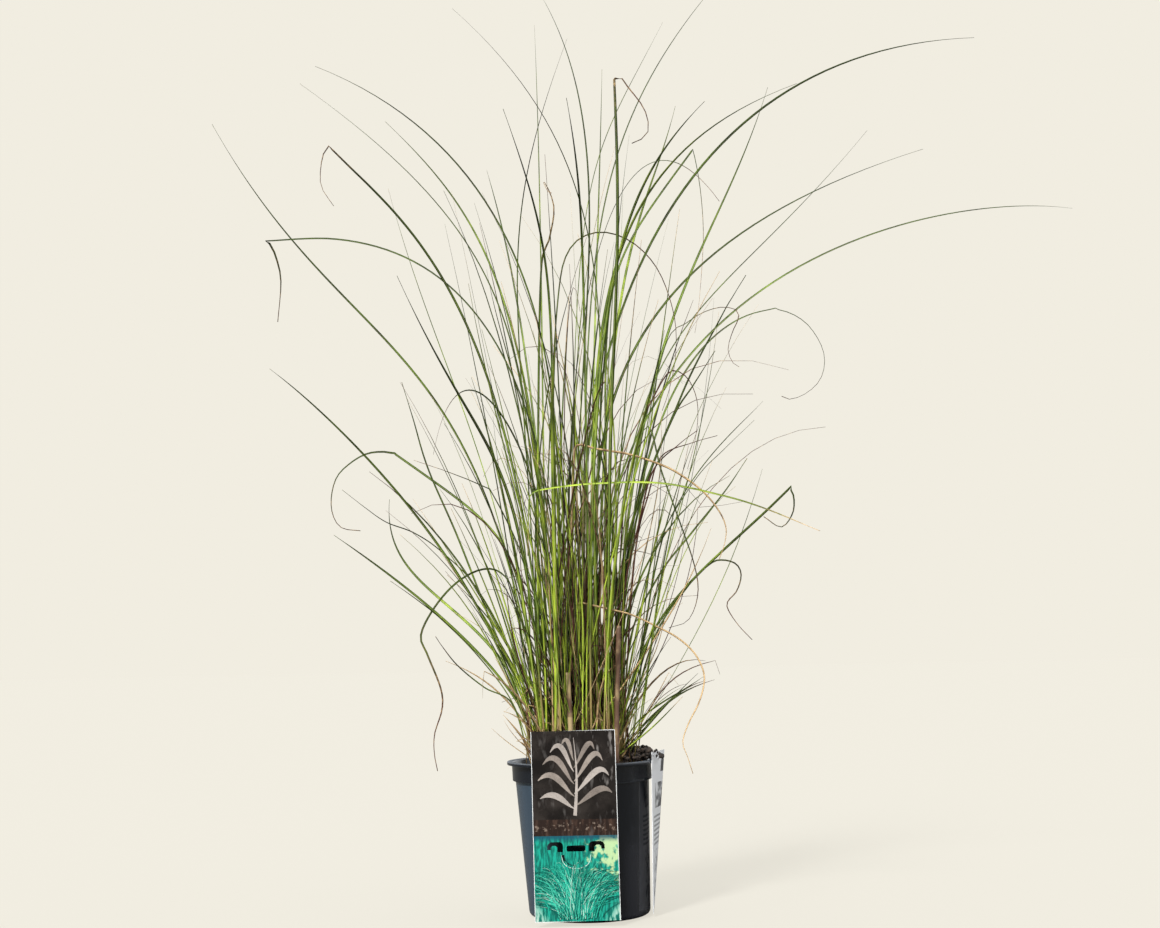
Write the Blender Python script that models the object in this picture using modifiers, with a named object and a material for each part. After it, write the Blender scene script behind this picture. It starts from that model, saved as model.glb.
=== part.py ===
"""Potted clump of miscanthus grass at its real size: metres, +Z up.

The origin is the middle of the pot's foot, on the surface that it stands on. The front label faces -Y.
The soft pot is pressed a little out of true: its lip lies to the -X side of its foot.
Every leaf grows in an upright plane of its own that fans out from the crown of the plant.
"""

import math
from collections import namedtuple

import bmesh
import bpy
from mathutils import Matrix, Vector

MM = 0.001

# Driving dimensions, in metres.
GAP = 0.0003  # left between two pieces that touch
POT_HEIGHT = 0.170
LIP_RADIUS = 0.085
LIP_THICKNESS = 0.0036
BAND_RADIUS = 0.0796
BAND_HEIGHT = 0.020
BODY_TOP_RADIUS = 0.0762
FOOT_RADIUS = 0.0685
FOOT_ROUNDING = 0.005
WALL = 0.0014
FLOOR = 0.0020
LIP_OFFSET = -0.0070  # how far the lip's middle lies from the foot's middle, along X
POT_SIDES = 48
DRAIN_RADIUS = 0.0045
DRAIN_CIRCLE_RADIUS = 0.050
DRAIN_COUNT = 8

COMPOST_RADIUS = 0.0740
COMPOST_FOOT_RADIUS = 0.0655
COMPOST_CENTRE_HEIGHT = 0.172
COMPOST_FALL = 0.012  # from the middle to the wall
MOUND_HEIGHT = 0.013
MOUND_PLACE = (0.038, 0.030)
MOUND_SPREAD = 0.026

LABEL_WIDTH = 0.092
LABEL_HEIGHT = 0.201
LABEL_THICKNESS = 0.0008
LABEL_BOTTOM = 0.006
LABEL_CENTRE = -0.0133
LABEL_TILT = math.radians(0.6)
STRAP_THICKNESS = 0.0008
STRAP_WIDTH = 0.012
SLOT_WIDTH = 0.0204
SLOT_HEIGHT = 0.0064
SLOT_MIDDLE = 0.076  # above the label's lower edge

SIDE_LABEL_WIDTH = 0.052
SIDE_LABEL_BOTTOM = 0.004
SIDE_LABEL_TOP = 0.179
SIDE_STRAP_Y = -0.008
SIDE_LABEL_THICKNESS = 0.0006
SIDE_LABEL_MIDDLE_Y = -0.010
SIDE_LABEL_X = (0.0712, 0.0806)  # at its bottom and at its top
SIDE_LABEL_TURN = (4.0, 19.0)  # degrees that its face is turned to the front, at its bottom and top

CANE_RADIUS = 0.0034
CANES = ((-30, -38, 0.292), (-17, -57, 0.268), (33, -52, 0.318), (40, 40, 0.300))

STEM_COUNT = 10
STEM_RADIUS = 0.0023
STEM_HEIGHTS = (0.36, 0.52)
STEM_CIRCLE = 0.0105
GOLDEN_ANGLE = math.radians(137.5)

LEAF_WIDTH = 0.0050
LEAF_THICKNESS = 0.0013
LEAF_TIP_SHARE = 0.16  # the tip's width as a share of the widest
LEAF_SEGMENT = 0.065
ROOT_CLEARANCE = 0.0006

# A leaf's root and tip in millimetres, its lean from upright at both, in degrees, and how long it
# holds on to each lean, as a share of the straight line from root to tip.
Leaf = namedtuple("Leaf", "root tip lean hold")

LEAVES = (
    # Long arching leaves to the left.
    Leaf((-47, 10), (-460, 60, 965), (7, 29), (0.60, 0.43)),
    Leaf((-61, -14), (-350, -90, 615), (8, 54), (0.40, 0.15)),
    Leaf((-34, 22), (-345, 140, 1075), (6, 62), (0.22, 0.54)),
    Leaf((-39, -10), (-325, -60, 965), (5, 55), (0.51, 0.46)),
    Leaf((-31, 27), (-260, 200, 1020), (2, 46), (0.61, 0.30)),
    Leaf((-29, -24), (-340, -150, 745), (-3, 103), (0.58, 0.41)),
    Leaf((-41, -29), (-270, -170, 845), (3, 50), (0.75, 0.15)),
    Leaf((-53, 37), (-260, 230, 935), (8, 20), (0.45, 0.38)),
    Leaf((-45, -42), (-185, -250, 675), (6, 38), (0.69, 0.45)),
    # Lower leaves to the left.
    Leaf((-53, 14), (-232, 90, 542), (5, 55), (0.64, 0.51)),
    Leaf((-20, -33), (-156, -180, 500), (-5, 167), (0.75, 0.55)),
    Leaf((-58, 28), (-250, 170, 495), (5, -7), (0.47, 0.35)),
    Leaf((-54, -5), (-285, -40, 430), (5, 55), (0.28, 0.25)),
    # Tall leaves in the middle.
    Leaf((2, -42), (-126, -260, 958), (4, 82), (0.35, 0.58)),
    Leaf((-12, 33), (-54, 150, 1195), (4, 45), (0.53, 0.54)),
    Leaf((-46, 55), (-55, 262, 1185), (5, 44), (0.49, 0.61)),
    Leaf((-56, -31), (-7, -180, 959), (4, 69), (0.58, 0.51)),
    Leaf((-11, -20), (176, -140, 1055), (4, 53), (0.57, 0.32)),
    Leaf((-20, 37), (126, 220, 1166), (2, 34), (0.75, 0.35)),
    Leaf((24, -38), (42, -230, 889), (7, -8), (0.72, 0.40)),
    Leaf((6, -61), (-8, -380, 808), (4, 96), (0.74, 0.70)),
    Leaf((-29, -50), (-72, -300, 831), (5, 75), (0.75, 0.49)),
    Leaf((22, 62), (82, 390, 1067), (5, 37), (0.40, 0.47)),
    Leaf((11, 48), (146, 300, 1075), (3, 28), (0.70, 0.27)),
    Leaf((4, -50), (132, -280, 843), (1, 78), (0.73, 0.26)),
    Leaf((-13, -34), (152, -200, 764), (-5, 145), (0.75, 0.42)),
    Leaf((-35, 58), (-133, 380, 1013), (4, 40), (0.54, 0.17)),
    Leaf((-28, -64), (-83, -410, 634), (5, 42), (0.62, 0.20)),
    Leaf((5, 67), (44, 430, 1190), (5, 20), (0.36, 0.32)),
    # Long arching leaves to the right.
    Leaf((5, 22), (533, 130, 1093), (-7, 84), (0.43, 0.41)),
    Leaf((10, -33), (233, -240, 877), (4, 89), (0.43, 0.49)),
    Leaf((29, 44), (275, 260, 1084), (4, 24), (0.58, 0.34)),
    Leaf((27, -21), (324, -150, 859), (1, 44), (0.71, 0.41)),
    Leaf((17, 30), (475, 200, 966), (3, 69), (0.30, 0.70)),
    Leaf((18, -8), (578, -60, 794), (-7, 101), (0.68, 0.20)),
    Leaf((26, 18), (249, 100, 721), (4, 80), (0.59, 0.23)),
    Leaf((21, 39), (162, 230, 981), (4, 45), (0.74, 0.49)),
    # Lower leaves to the right.
    Leaf((35, -32), (192, -190, 549), (5, 54), (0.66, 0.15)),
    Leaf((43, 8), (143, 60, 262), (5, 60), (0.32, 0.45)),
    Leaf((36, -12), (231, -90, 468), (5, 48), (0.47, 0.38)),
    Leaf((18, -51), (82, -320, 596), (6, 40), (0.58, 0.22)),
)

Finish = namedtuple("Finish", "colour roughness metallic")

FINISHES = {
    "pot_plastic": Finish((0.012, 0.015, 0.020), 0.22, 0.0),
    "compost": Finish((0.030, 0.020, 0.014), 0.95, 0.0),
    "label_print": Finish((0.060, 0.180, 0.160), 0.25, 0.0),
    "label_white": Finish((0.850, 0.850, 0.850), 0.35, 0.0),
    "dry_cane": Finish((0.520, 0.380, 0.180), 0.70, 0.0),
    "stem_green": Finish((0.220, 0.300, 0.070), 0.50, 0.0),
    "leaf_green": Finish((0.110, 0.190, 0.035), 0.45, 0.0),
}


def clear_scene():
    for thing in list(bpy.data.objects):
        bpy.data.objects.remove(thing, do_unlink=True)


def make_collection(name, hidden=False):
    collection = bpy.data.collections.new(name)
    collection.hide_render = hidden
    bpy.context.scene.collection.children.link(collection)
    return collection


def make_material(name):
    finish = FINISHES[name]
    material = bpy.data.materials.new(name)
    material.use_nodes = True
    shader = material.node_tree.nodes["Principled BSDF"]
    shader.inputs["Base Color"].default_value = (*finish.colour, 1.0)
    shader.inputs["Roughness"].default_value = finish.roughness
    shader.inputs["Metallic"].default_value = finish.metallic
    return material


def add_object(name, data, material, collection):
    thing = bpy.data.objects.new(name, data)
    collection.objects.link(thing)
    if material:
        data.materials.append(material)
    return thing


def finished_mesh(thing):
    """The object's evaluated mesh, with its loose caps welded and its faces turned outwards."""
    bpy.context.view_layer.update()
    graph = bpy.context.evaluated_depsgraph_get()
    mesh = bpy.data.meshes.new_from_object(thing.evaluated_get(graph))
    shape = bmesh.new()
    shape.from_mesh(mesh)
    bmesh.ops.remove_doubles(shape, verts=shape.verts, dist=1e-6)
    bmesh.ops.recalc_face_normals(shape, faces=shape.faces)
    shape.to_mesh(mesh)
    shape.free()
    mesh.transform(thing.matrix_world)
    return mesh


def replace_with_mesh(thing, mesh, collection):
    """Puts a finished mesh in the place of the object that it was made from, under the same name."""
    name = thing.name
    bpy.data.objects.remove(thing, do_unlink=True)
    solid = bpy.data.objects.new(name, mesh)
    collection.objects.link(solid)
    return solid


def turned(name, profile, material, collection):
    """A profile of (radius, height) points, turned about Z. Its ends lie on the axis."""
    mesh = bpy.data.meshes.new(name)
    points = [(radius, 0.0, height) for radius, height in profile]
    edges = [(index, index + 1) for index in range(len(points) - 1)]
    mesh.from_pydata(points, edges, [])
    thing = add_object(name, mesh, material, collection)
    screw = thing.modifiers.new("turn", "SCREW")
    screw.axis = "Z"
    screw.steps = POT_SIDES
    screw.render_steps = POT_SIDES
    screw.use_merge_vertices = True
    screw.merge_threshold = 1e-5
    return replace_with_mesh(thing, finished_mesh(thing), collection)


def press_out_of_true(mesh):
    """Slides each level of the mesh along X, in proportion to its height."""
    slope = LIP_OFFSET / POT_HEIGHT
    mesh.transform(Matrix(((1, 0, slope, 0), (0, 1, 0, 0), (0, 0, 1, 0), (0, 0, 0, 1))))


def smooth_round_faces(mesh):
    mesh.shade_smooth()
    mesh.set_sharp_from_angle(angle=math.radians(35))


def pot_profile():
    """From the middle of the floor up the inside, over the lip and down the outside to the axis."""
    band_bottom = POT_HEIGHT - BAND_HEIGHT - 0.0015
    lip_under = POT_HEIGHT - LIP_THICKNESS
    inside = [
        (0.0, FLOOR),
        (FOOT_RADIUS - FOOT_ROUNDING, FLOOR),
        (FOOT_RADIUS - WALL, FLOOR + FOOT_ROUNDING - WALL),
        (BODY_TOP_RADIUS - WALL, band_bottom - 0.0005),
        (BAND_RADIUS - WALL, band_bottom + 0.0015),
        (BAND_RADIUS - WALL, POT_HEIGHT - 0.0008),
        (BAND_RADIUS - WALL + 0.0008, POT_HEIGHT),
    ]
    outside = [
        (LIP_RADIUS - 0.0006, POT_HEIGHT),
        (LIP_RADIUS, POT_HEIGHT - 0.0006),
        (LIP_RADIUS, lip_under),
        (LIP_RADIUS - WALL, lip_under),
        (LIP_RADIUS - WALL, POT_HEIGHT - WALL),
        (BAND_RADIUS, POT_HEIGHT - WALL),
        (BAND_RADIUS, band_bottom),
        (BODY_TOP_RADIUS, band_bottom - 0.0015),
    ]
    foot = []
    steps = 4
    for step in range(steps + 1):
        angle = math.radians(90) * step / steps
        radius = FOOT_RADIUS - FOOT_ROUNDING * (1 - math.cos(angle))
        foot.append((radius, FOOT_ROUNDING * (1 - math.sin(angle))))
    return inside + outside + foot + [(0.0, 0.0)]


def drain_cutters(collection):
    """The eight upright cylinders that cut the drain holes, in one mesh."""
    shape = bmesh.new()
    for index in range(DRAIN_COUNT):
        angle = 2 * math.pi * (index + 0.5) / DRAIN_COUNT
        place = Vector((math.cos(angle), math.sin(angle), 0.0)) * DRAIN_CIRCLE_RADIUS
        bmesh.ops.create_cone(
            shape,
            cap_ends=True,
            segments=16,
            radius1=DRAIN_RADIUS,
            radius2=DRAIN_RADIUS,
            depth=4 * FLOOR,
            matrix=Matrix.Translation(place),
        )
    mesh = bpy.data.meshes.new("drain_cutters")
    shape.to_mesh(mesh)
    shape.free()
    cutters = add_object("drain_cutters", mesh, None, collection)
    cutters.hide_render = True
    cutters.display_type = "WIRE"
    return cutters


def build_pot(collection, cutters):
    pot = turned("pot", pot_profile(), make_material("pot_plastic"), collection)
    press_out_of_true(pot.data)
    drains = pot.modifiers.new("drain_holes", "BOOLEAN")
    drains.operation = "DIFFERENCE"
    drains.object = drain_cutters(cutters)
    smooth_round_faces(pot.data)


def dome(radius):
    """The compost's height at a distance from its middle, without the mound."""
    return COMPOST_CENTRE_HEIGHT - COMPOST_FALL * (radius / COMPOST_RADIUS) ** 2


def mound(x, y):
    """How much the mound adds at a place."""
    distance = math.hypot(x - MOUND_PLACE[0], y - MOUND_PLACE[1])
    return MOUND_HEIGHT * math.exp(-((distance / MOUND_SPREAD) ** 2))


def surface_height(x, y):
    """The height of the compost at a place inside the pot."""
    return dome(math.hypot(x - LIP_OFFSET, y)) + mound(x, y)


def build_compost(collection):
    rings = 7
    top = [(COMPOST_RADIUS * ring / rings) for ring in range(rings + 1)]
    bottom = FLOOR + GAP
    profile = [(radius, dome(radius)) for radius in top]
    profile += [
        (COMPOST_RADIUS, POT_HEIGHT - BAND_HEIGHT),
        (COMPOST_FOOT_RADIUS, bottom + FOOT_ROUNDING),
        (COMPOST_FOOT_RADIUS - FOOT_ROUNDING, bottom),
        (0.0, bottom),
    ]
    compost = turned("compost", profile, make_material("compost"), collection)
    press_out_of_true(compost.data)
    for vertex in compost.data.vertices:
        if vertex.co.z > POT_HEIGHT - BAND_HEIGHT + GAP:
            vertex.co.z += mound(vertex.co.x, vertex.co.y)
    smooth_round_faces(compost.data)


def flat_plate(name, outlines, thickness, material, collection):
    """A flat curve filled between its outlines: the first is the edge and the rest are openings."""
    curve = bpy.data.curves.new(name, "CURVE")
    curve.dimensions = "2D"
    curve.fill_mode = "BOTH"
    curve.extrude = thickness / 2
    for outline in outlines:
        spline = curve.splines.new("POLY")
        spline.points.add(len(outline) - 1)
        for point, (across, up) in zip(spline.points, outline):
            point.co = (across, up, 0.0, 1.0)
        spline.use_cyclic_u = True
    return add_object(name, curve, material, collection)


def slot_outline():
    """A slot with rounded corners, around the middle of the label."""
    corner = SLOT_HEIGHT * 0.3
    outline = []
    for across, up, start in ((1, 1, 0), (-1, 1, 90), (-1, -1, 180), (1, -1, 270)):
        centre_x = across * (SLOT_WIDTH / 2 - corner)
        centre_z = SLOT_MIDDLE + up * (SLOT_HEIGHT / 2 - corner)
        for step in range(3):
            angle = math.radians(start + 45 * step)
            outline.append((centre_x + corner * math.cos(angle), centre_z + corner * math.sin(angle)))
    return outline


def hook_outline(side):
    """A punched hanging hook: a broad leg by the slot, a round top and a short outer leg."""
    points = (
        (14.0, 72.6), (20.0, 72.6), (20.0, 77.4), (22.2, 79.2), (25.4, 79.2), (27.2, 77.4),
        (27.2, 75.0), (31.0, 75.0), (31.0, 79.2), (29.6, 81.8), (27.0, 83.2), (17.6, 83.2),
        (15.2, 82.2), (14.0, 79.8),
    )
    return [(side * across * MM, up * MM) for across, up in points]


def strap_over_lip(name, start, collection, material):
    """A flat strip, seen from its side, that runs from a label over the lip and down inside the pot.

    It is drawn across X and up Z with the lip's edge at zero, and stands STRAP_WIDTH wide.
    """
    over = POT_HEIGHT + GAP
    inner = BAND_RADIUS - WALL - LIP_RADIUS - 6 * GAP
    down = POT_HEIGHT - 0.010
    outline = [
        (start, over),
        (inner, over),
        (inner, down),
        (inner - STRAP_THICKNESS, down),
        (inner - STRAP_THICKNESS, over + STRAP_THICKNESS),
        (start, over + STRAP_THICKNESS),
    ]
    return flat_plate(name, [outline], STRAP_WIDTH, material, collection)


def join_strap(label, strap, collection):
    """Unites a strap with its label in one solid."""
    strap = replace_with_mesh(strap, finished_mesh(strap), collection)
    join = label.modifiers.new("strap", "BOOLEAN")
    join.operation = "UNION"
    join.object = strap
    united = finished_mesh(label)
    material = label.data.materials[0]
    bpy.data.objects.remove(strap, do_unlink=True)
    united.materials.clear()
    united.materials.append(material)
    return replace_with_mesh(label, united, collection)


def build_front_label(collection):
    material = make_material("label_print")
    half = LABEL_WIDTH / 2
    card = [(-half, 0.0), (half, 0.0), (half, LABEL_HEIGHT), (-half, LABEL_HEIGHT)]
    outlines = [card, slot_outline(), hook_outline(-1), hook_outline(1)]
    label = flat_plate("front_label", outlines, LABEL_THICKNESS, material, collection)
    behind = LIP_RADIUS + GAP + LABEL_THICKNESS / 2
    label.matrix_world = (
        Matrix.Translation((LABEL_CENTRE, -behind, LABEL_BOTTOM))
        @ Matrix.Rotation(-LABEL_TILT, 4, "Y")
        @ Matrix.Rotation(math.radians(90), 4, "X")
    )
    label = replace_with_mesh(label, finished_mesh(label), collection)
    strap = strap_over_lip("front_strap", GAP + LABEL_THICKNESS / 2, collection, material)
    strap.matrix_world = (
        Matrix.Translation((LIP_OFFSET, -LIP_RADIUS, 0.0))
        @ Matrix.Rotation(math.radians(-90), 4, "Z")
        @ Matrix.Rotation(math.radians(90), 4, "X")
    )
    join_strap(label, strap, collection)


def build_side_label(collection):
    """A strip that hangs beside the pot and is turned more to the front at its top than at its foot."""
    material = make_material("label_white")
    rows = 8
    across = (-0.5, 0.0, 0.5)
    points = []
    for row in range(rows + 1):
        share = row / rows
        turn = math.radians(SIDE_LABEL_TURN[0] + share * (SIDE_LABEL_TURN[1] - SIDE_LABEL_TURN[0]))
        middle_x = SIDE_LABEL_X[0] + share * (SIDE_LABEL_X[1] - SIDE_LABEL_X[0])
        height = SIDE_LABEL_BOTTOM + share * (SIDE_LABEL_TOP - SIDE_LABEL_BOTTOM)
        for place in across:
            reach = place * SIDE_LABEL_WIDTH
            x = middle_x + reach * math.sin(turn)
            y = SIDE_LABEL_MIDDLE_Y + reach * math.cos(turn)
            points.append((x, y, height))
    faces = []
    for row in range(rows):
        for column in range(len(across) - 1):
            corner = row * len(across) + column
            above = corner + len(across)
            faces.append((corner, corner + 1, above + 1, above))
    mesh = bpy.data.meshes.new("side_label")
    mesh.from_pydata(points, [], faces)
    label = add_object("side_label", mesh, material, collection)
    thick = label.modifiers.new("thickness", "SOLIDIFY")
    thick.thickness = SIDE_LABEL_THICKNESS
    thick.offset = 1.0
    label = replace_with_mesh(label, finished_mesh(label), collection)
    start = SIDE_LABEL_X[1] - LIP_OFFSET - LIP_RADIUS + 4 * GAP
    strap = strap_over_lip("side_strap", start, collection, material)
    strap.matrix_world = (
        Matrix.Translation((LIP_OFFSET + LIP_RADIUS, SIDE_STRAP_Y, 0.0))
        @ Matrix.Rotation(math.radians(90), 4, "X")
    )
    join_strap(label, strap, collection)


def round_stalk(name, root, tip, radius, tip_share, material, collection):
    """A round stalk between two points, as a curve with a bevel."""
    curve = bpy.data.curves.new(name, "CURVE")
    curve.dimensions = "3D"
    curve.bevel_depth = radius
    curve.bevel_resolution = 1
    curve.use_fill_caps = True
    curve.resolution_u = 6
    spline = curve.splines.new("BEZIER")
    spline.bezier_points.add(1)
    rise = tip - root
    upright = Vector((0.0, 0.0, rise.length / 3))
    first, last = spline.bezier_points
    first.co = root
    first.handle_left = root - upright
    first.handle_right = root + upright
    last.co = tip
    last.handle_left = tip - rise / 3
    last.handle_right = tip + rise / 3
    last.radius = tip_share
    return add_object(name, curve, material, collection)


def on_compost(x, y, half_width):
    """The lowest place at x, y where a stalk of this half width stands clear of the compost."""
    around = ((half_width, 0.0), (0.0, half_width), (-half_width, 0.0), (0.0, -half_width), (0.0, 0.0))
    highest = max(surface_height(x + along, y + across) for along, across in around)
    return Vector((x, y, highest + ROOT_CLEARANCE))


def build_canes(collection):
    material = make_material("dry_cane")
    for index, (x, y, height) in enumerate(CANES, 1):
        root = on_compost(x * MM, y * MM, CANE_RADIUS)
        tip = Vector((root.x * 1.15, root.y * 1.15, height))
        round_stalk(f"old_cane_{index:02d}", root, tip, CANE_RADIUS, 0.9, material, collection)


def build_stems(collection):
    """Stems spread over the crown like the seeds of a sunflower, each leaning a little outwards."""
    material = make_material("stem_green")
    low, high = STEM_HEIGHTS
    for index in range(STEM_COUNT):
        share = (index + 0.5) / STEM_COUNT
        distance = STEM_CIRCLE * math.sqrt(share)
        angle = index * GOLDEN_ANGLE
        root = on_compost(distance * math.cos(angle), distance * math.sin(angle), STEM_RADIUS)
        height = high - (high - low) * share
        tip = Vector((root.x * 2.2, root.y * 2.2, height))
        name = f"stem_{index + 1:02d}"
        round_stalk(name, root, tip, STEM_RADIUS, 0.55, material, collection)


def leaf_section():
    """The leaf's cross-section: a flat diamond, wide across and thin through."""
    section = bpy.data.curves.new("leaf_section", "CURVE")
    section.dimensions = "2D"
    spline = section.splines.new("POLY")
    spline.points.add(3)
    wide, thin = LEAF_WIDTH / 2, LEAF_THICKNESS / 2
    corners = ((wide, 0.0), (0.0, -thin), (-wide, 0.0), (0.0, thin))
    for point, (across, through) in zip(spline.points, corners):
        point.co = (across, through, 0.0, 1.0)
    spline.use_cyclic_u = True
    return section


def leaning(heading, degrees):
    """The direction that leans from upright by an angle, towards a heading."""
    angle = math.radians(degrees)
    return heading * math.sin(angle) + Vector((0.0, 0.0, math.cos(angle)))


def build_leaf(name, leaf, section, material, collection):
    root = on_compost(leaf.root[0] * MM, leaf.root[1] * MM, LEAF_WIDTH / 2)
    tip = Vector(leaf.tip) * MM
    reach = tip - root
    heading = Vector((reach.x, reach.y, 0.0)).normalized()
    at_root = leaning(heading, leaf.lean[0]) * leaf.hold[0] * reach.length
    at_tip = leaning(heading, leaf.lean[1]) * leaf.hold[1] * reach.length
    curve = bpy.data.curves.new(name, "CURVE")
    curve.dimensions = "3D"
    curve.bevel_mode = "OBJECT"
    curve.bevel_object = section
    curve.use_fill_caps = True
    curve.twist_mode = "MINIMUM"
    curve.resolution_u = max(5, round(reach.length / LEAF_SEGMENT))
    spline = curve.splines.new("BEZIER")
    spline.bezier_points.add(1)
    first, last = spline.bezier_points
    first.co = root
    first.handle_left = root - at_root
    first.handle_right = root + at_root
    last.co = tip
    last.handle_left = tip - at_tip
    last.handle_right = tip + at_tip
    last.radius = LEAF_TIP_SHARE
    add_object(name, curve, material, collection)


def build_leaves(collection, guides):
    material = make_material("leaf_green")
    section = add_object("leaf_section", leaf_section(), None, guides)
    section.hide_render = True
    section.display_type = "WIRE"
    for index, leaf in enumerate(LEAVES, 1):
        build_leaf(f"leaf_{index:02d}", leaf, section, material, collection)


def main():
    clear_scene()
    parts = make_collection("potted_miscanthus")
    helpers = make_collection("cutters_and_guides", hidden=True)
    build_pot(parts, helpers)
    build_compost(parts)
    build_front_label(parts)
    build_side_label(parts)
    build_canes(parts)
    build_stems(parts)
    build_leaves(parts, helpers)


main()
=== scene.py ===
"""The looks of a potted clump of miscanthus grass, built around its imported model.

Every detailed leaf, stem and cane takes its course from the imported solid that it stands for. Thinner
leaves, dry straws, compost crumbs and prints are surfaces worked out here with numpy.
"""

import logging
import math
from dataclasses import dataclass, field
from enum import Enum
from typing import Any, Sequence

import bpy
import numpy as np
from mathutils import Matrix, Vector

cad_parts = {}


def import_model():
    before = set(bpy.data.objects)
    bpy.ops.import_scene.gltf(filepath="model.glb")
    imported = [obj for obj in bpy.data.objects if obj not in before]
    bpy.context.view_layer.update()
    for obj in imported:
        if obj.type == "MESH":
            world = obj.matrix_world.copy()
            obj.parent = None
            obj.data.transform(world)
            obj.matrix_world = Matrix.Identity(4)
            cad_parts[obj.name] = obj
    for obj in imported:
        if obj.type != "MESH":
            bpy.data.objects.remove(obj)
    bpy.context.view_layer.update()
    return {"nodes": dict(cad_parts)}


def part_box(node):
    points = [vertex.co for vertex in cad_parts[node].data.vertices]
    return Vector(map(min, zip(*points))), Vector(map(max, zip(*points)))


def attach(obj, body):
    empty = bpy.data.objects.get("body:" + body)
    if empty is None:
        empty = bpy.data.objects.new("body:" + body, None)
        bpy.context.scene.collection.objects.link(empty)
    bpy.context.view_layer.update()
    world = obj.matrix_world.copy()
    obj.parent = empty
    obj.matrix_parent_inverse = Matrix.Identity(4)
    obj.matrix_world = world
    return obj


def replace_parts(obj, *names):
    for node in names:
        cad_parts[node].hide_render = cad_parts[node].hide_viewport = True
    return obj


LOG = logging.getLogger("potted_grass")

MM = 0.001
SEED = 7
Array = np.ndarray
Colour = tuple[float, float, float]
RING_REACH = 0.0085  # further than a slim solid is wide, and nearer than its rings lie to each other
NODES: dict[str, Any] = {}


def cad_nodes() -> dict[str, Any]:
    """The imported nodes, by name."""
    return NODES


# ---------------------------------------------------------------------------------------------------
# Shader maths


class Value:
    """A number that varies over a surface: one float socket, with Python's operators."""

    def __init__(self, shader: "Shader", socket: bpy.types.NodeSocket) -> None:
        """Keeps the socket and the shader that it belongs to."""
        self.shader = shader
        self.socket = socket

    def _maths(self, operation: str, *others: "Value | float") -> "Value":
        """Adds a Math node that starts from this value."""
        node = self.shader.node("ShaderNodeMath", {"operation": operation}, {})
        for slot, operand in enumerate((self, *others)):
            self.shader.feed(node.inputs[slot], operand)
        return Value(self.shader, node.outputs[0])

    def __add__(self, other: "Value | float") -> "Value":
        """This value plus another."""
        return self._maths("ADD", other)

    __radd__ = __add__

    def __mul__(self, other: "Value | float") -> "Value":
        """This value times another."""
        return self._maths("MULTIPLY", other)

    __rmul__ = __mul__

    def __sub__(self, other: "Value | float") -> "Value":
        """This value less another."""
        return self._maths("SUBTRACT", other)

    def __rsub__(self, other: float) -> "Value":
        """A number less this value."""
        return (self * -1.0) + other

    def __truediv__(self, other: "Value | float") -> "Value":
        """This value over another."""
        return self._maths("DIVIDE", other)

    def __pow__(self, other: float) -> "Value":
        """This value to a power."""
        return self._maths("POWER", other)

    def __abs__(self) -> "Value":
        """This value without its sign."""
        return self._maths("ABSOLUTE")

    def sine(self) -> "Value":
        """The sine of this value."""
        return self._maths("SINE")

    def bearing(self, other: "Value | float") -> "Value":
        """The angle whose tangent is this value over another."""
        return self._maths("ARCTAN2", other)

    def above(self, limit: float) -> "Value":
        """One where this value is over the limit, and nought elsewhere."""
        return self._maths("GREATER_THAN", limit)

    def below(self, limit: float) -> "Value":
        """One where this value is under the limit, and nought elsewhere."""
        return self._maths("LESS_THAN", limit)

    def between(self, low: float, high: float) -> "Value":
        """One between the limits, and nought elsewhere."""
        return self.above(low) * self.below(high)

    def ramp(self, low: float, high: float) -> "Value":
        """A smooth rise from nought at low to one at high, or a fall where high is the lower."""
        settings = {"interpolation_type": "SMOOTHSTEP"}
        if low < high:
            inputs = {"Value": self, "From Min": low, "From Max": high}
            node = self.shader.node("ShaderNodeMapRange", settings, inputs)
            return Value(self.shader, node.outputs[0])
        return 1.0 - self.ramp(high, low)


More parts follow.
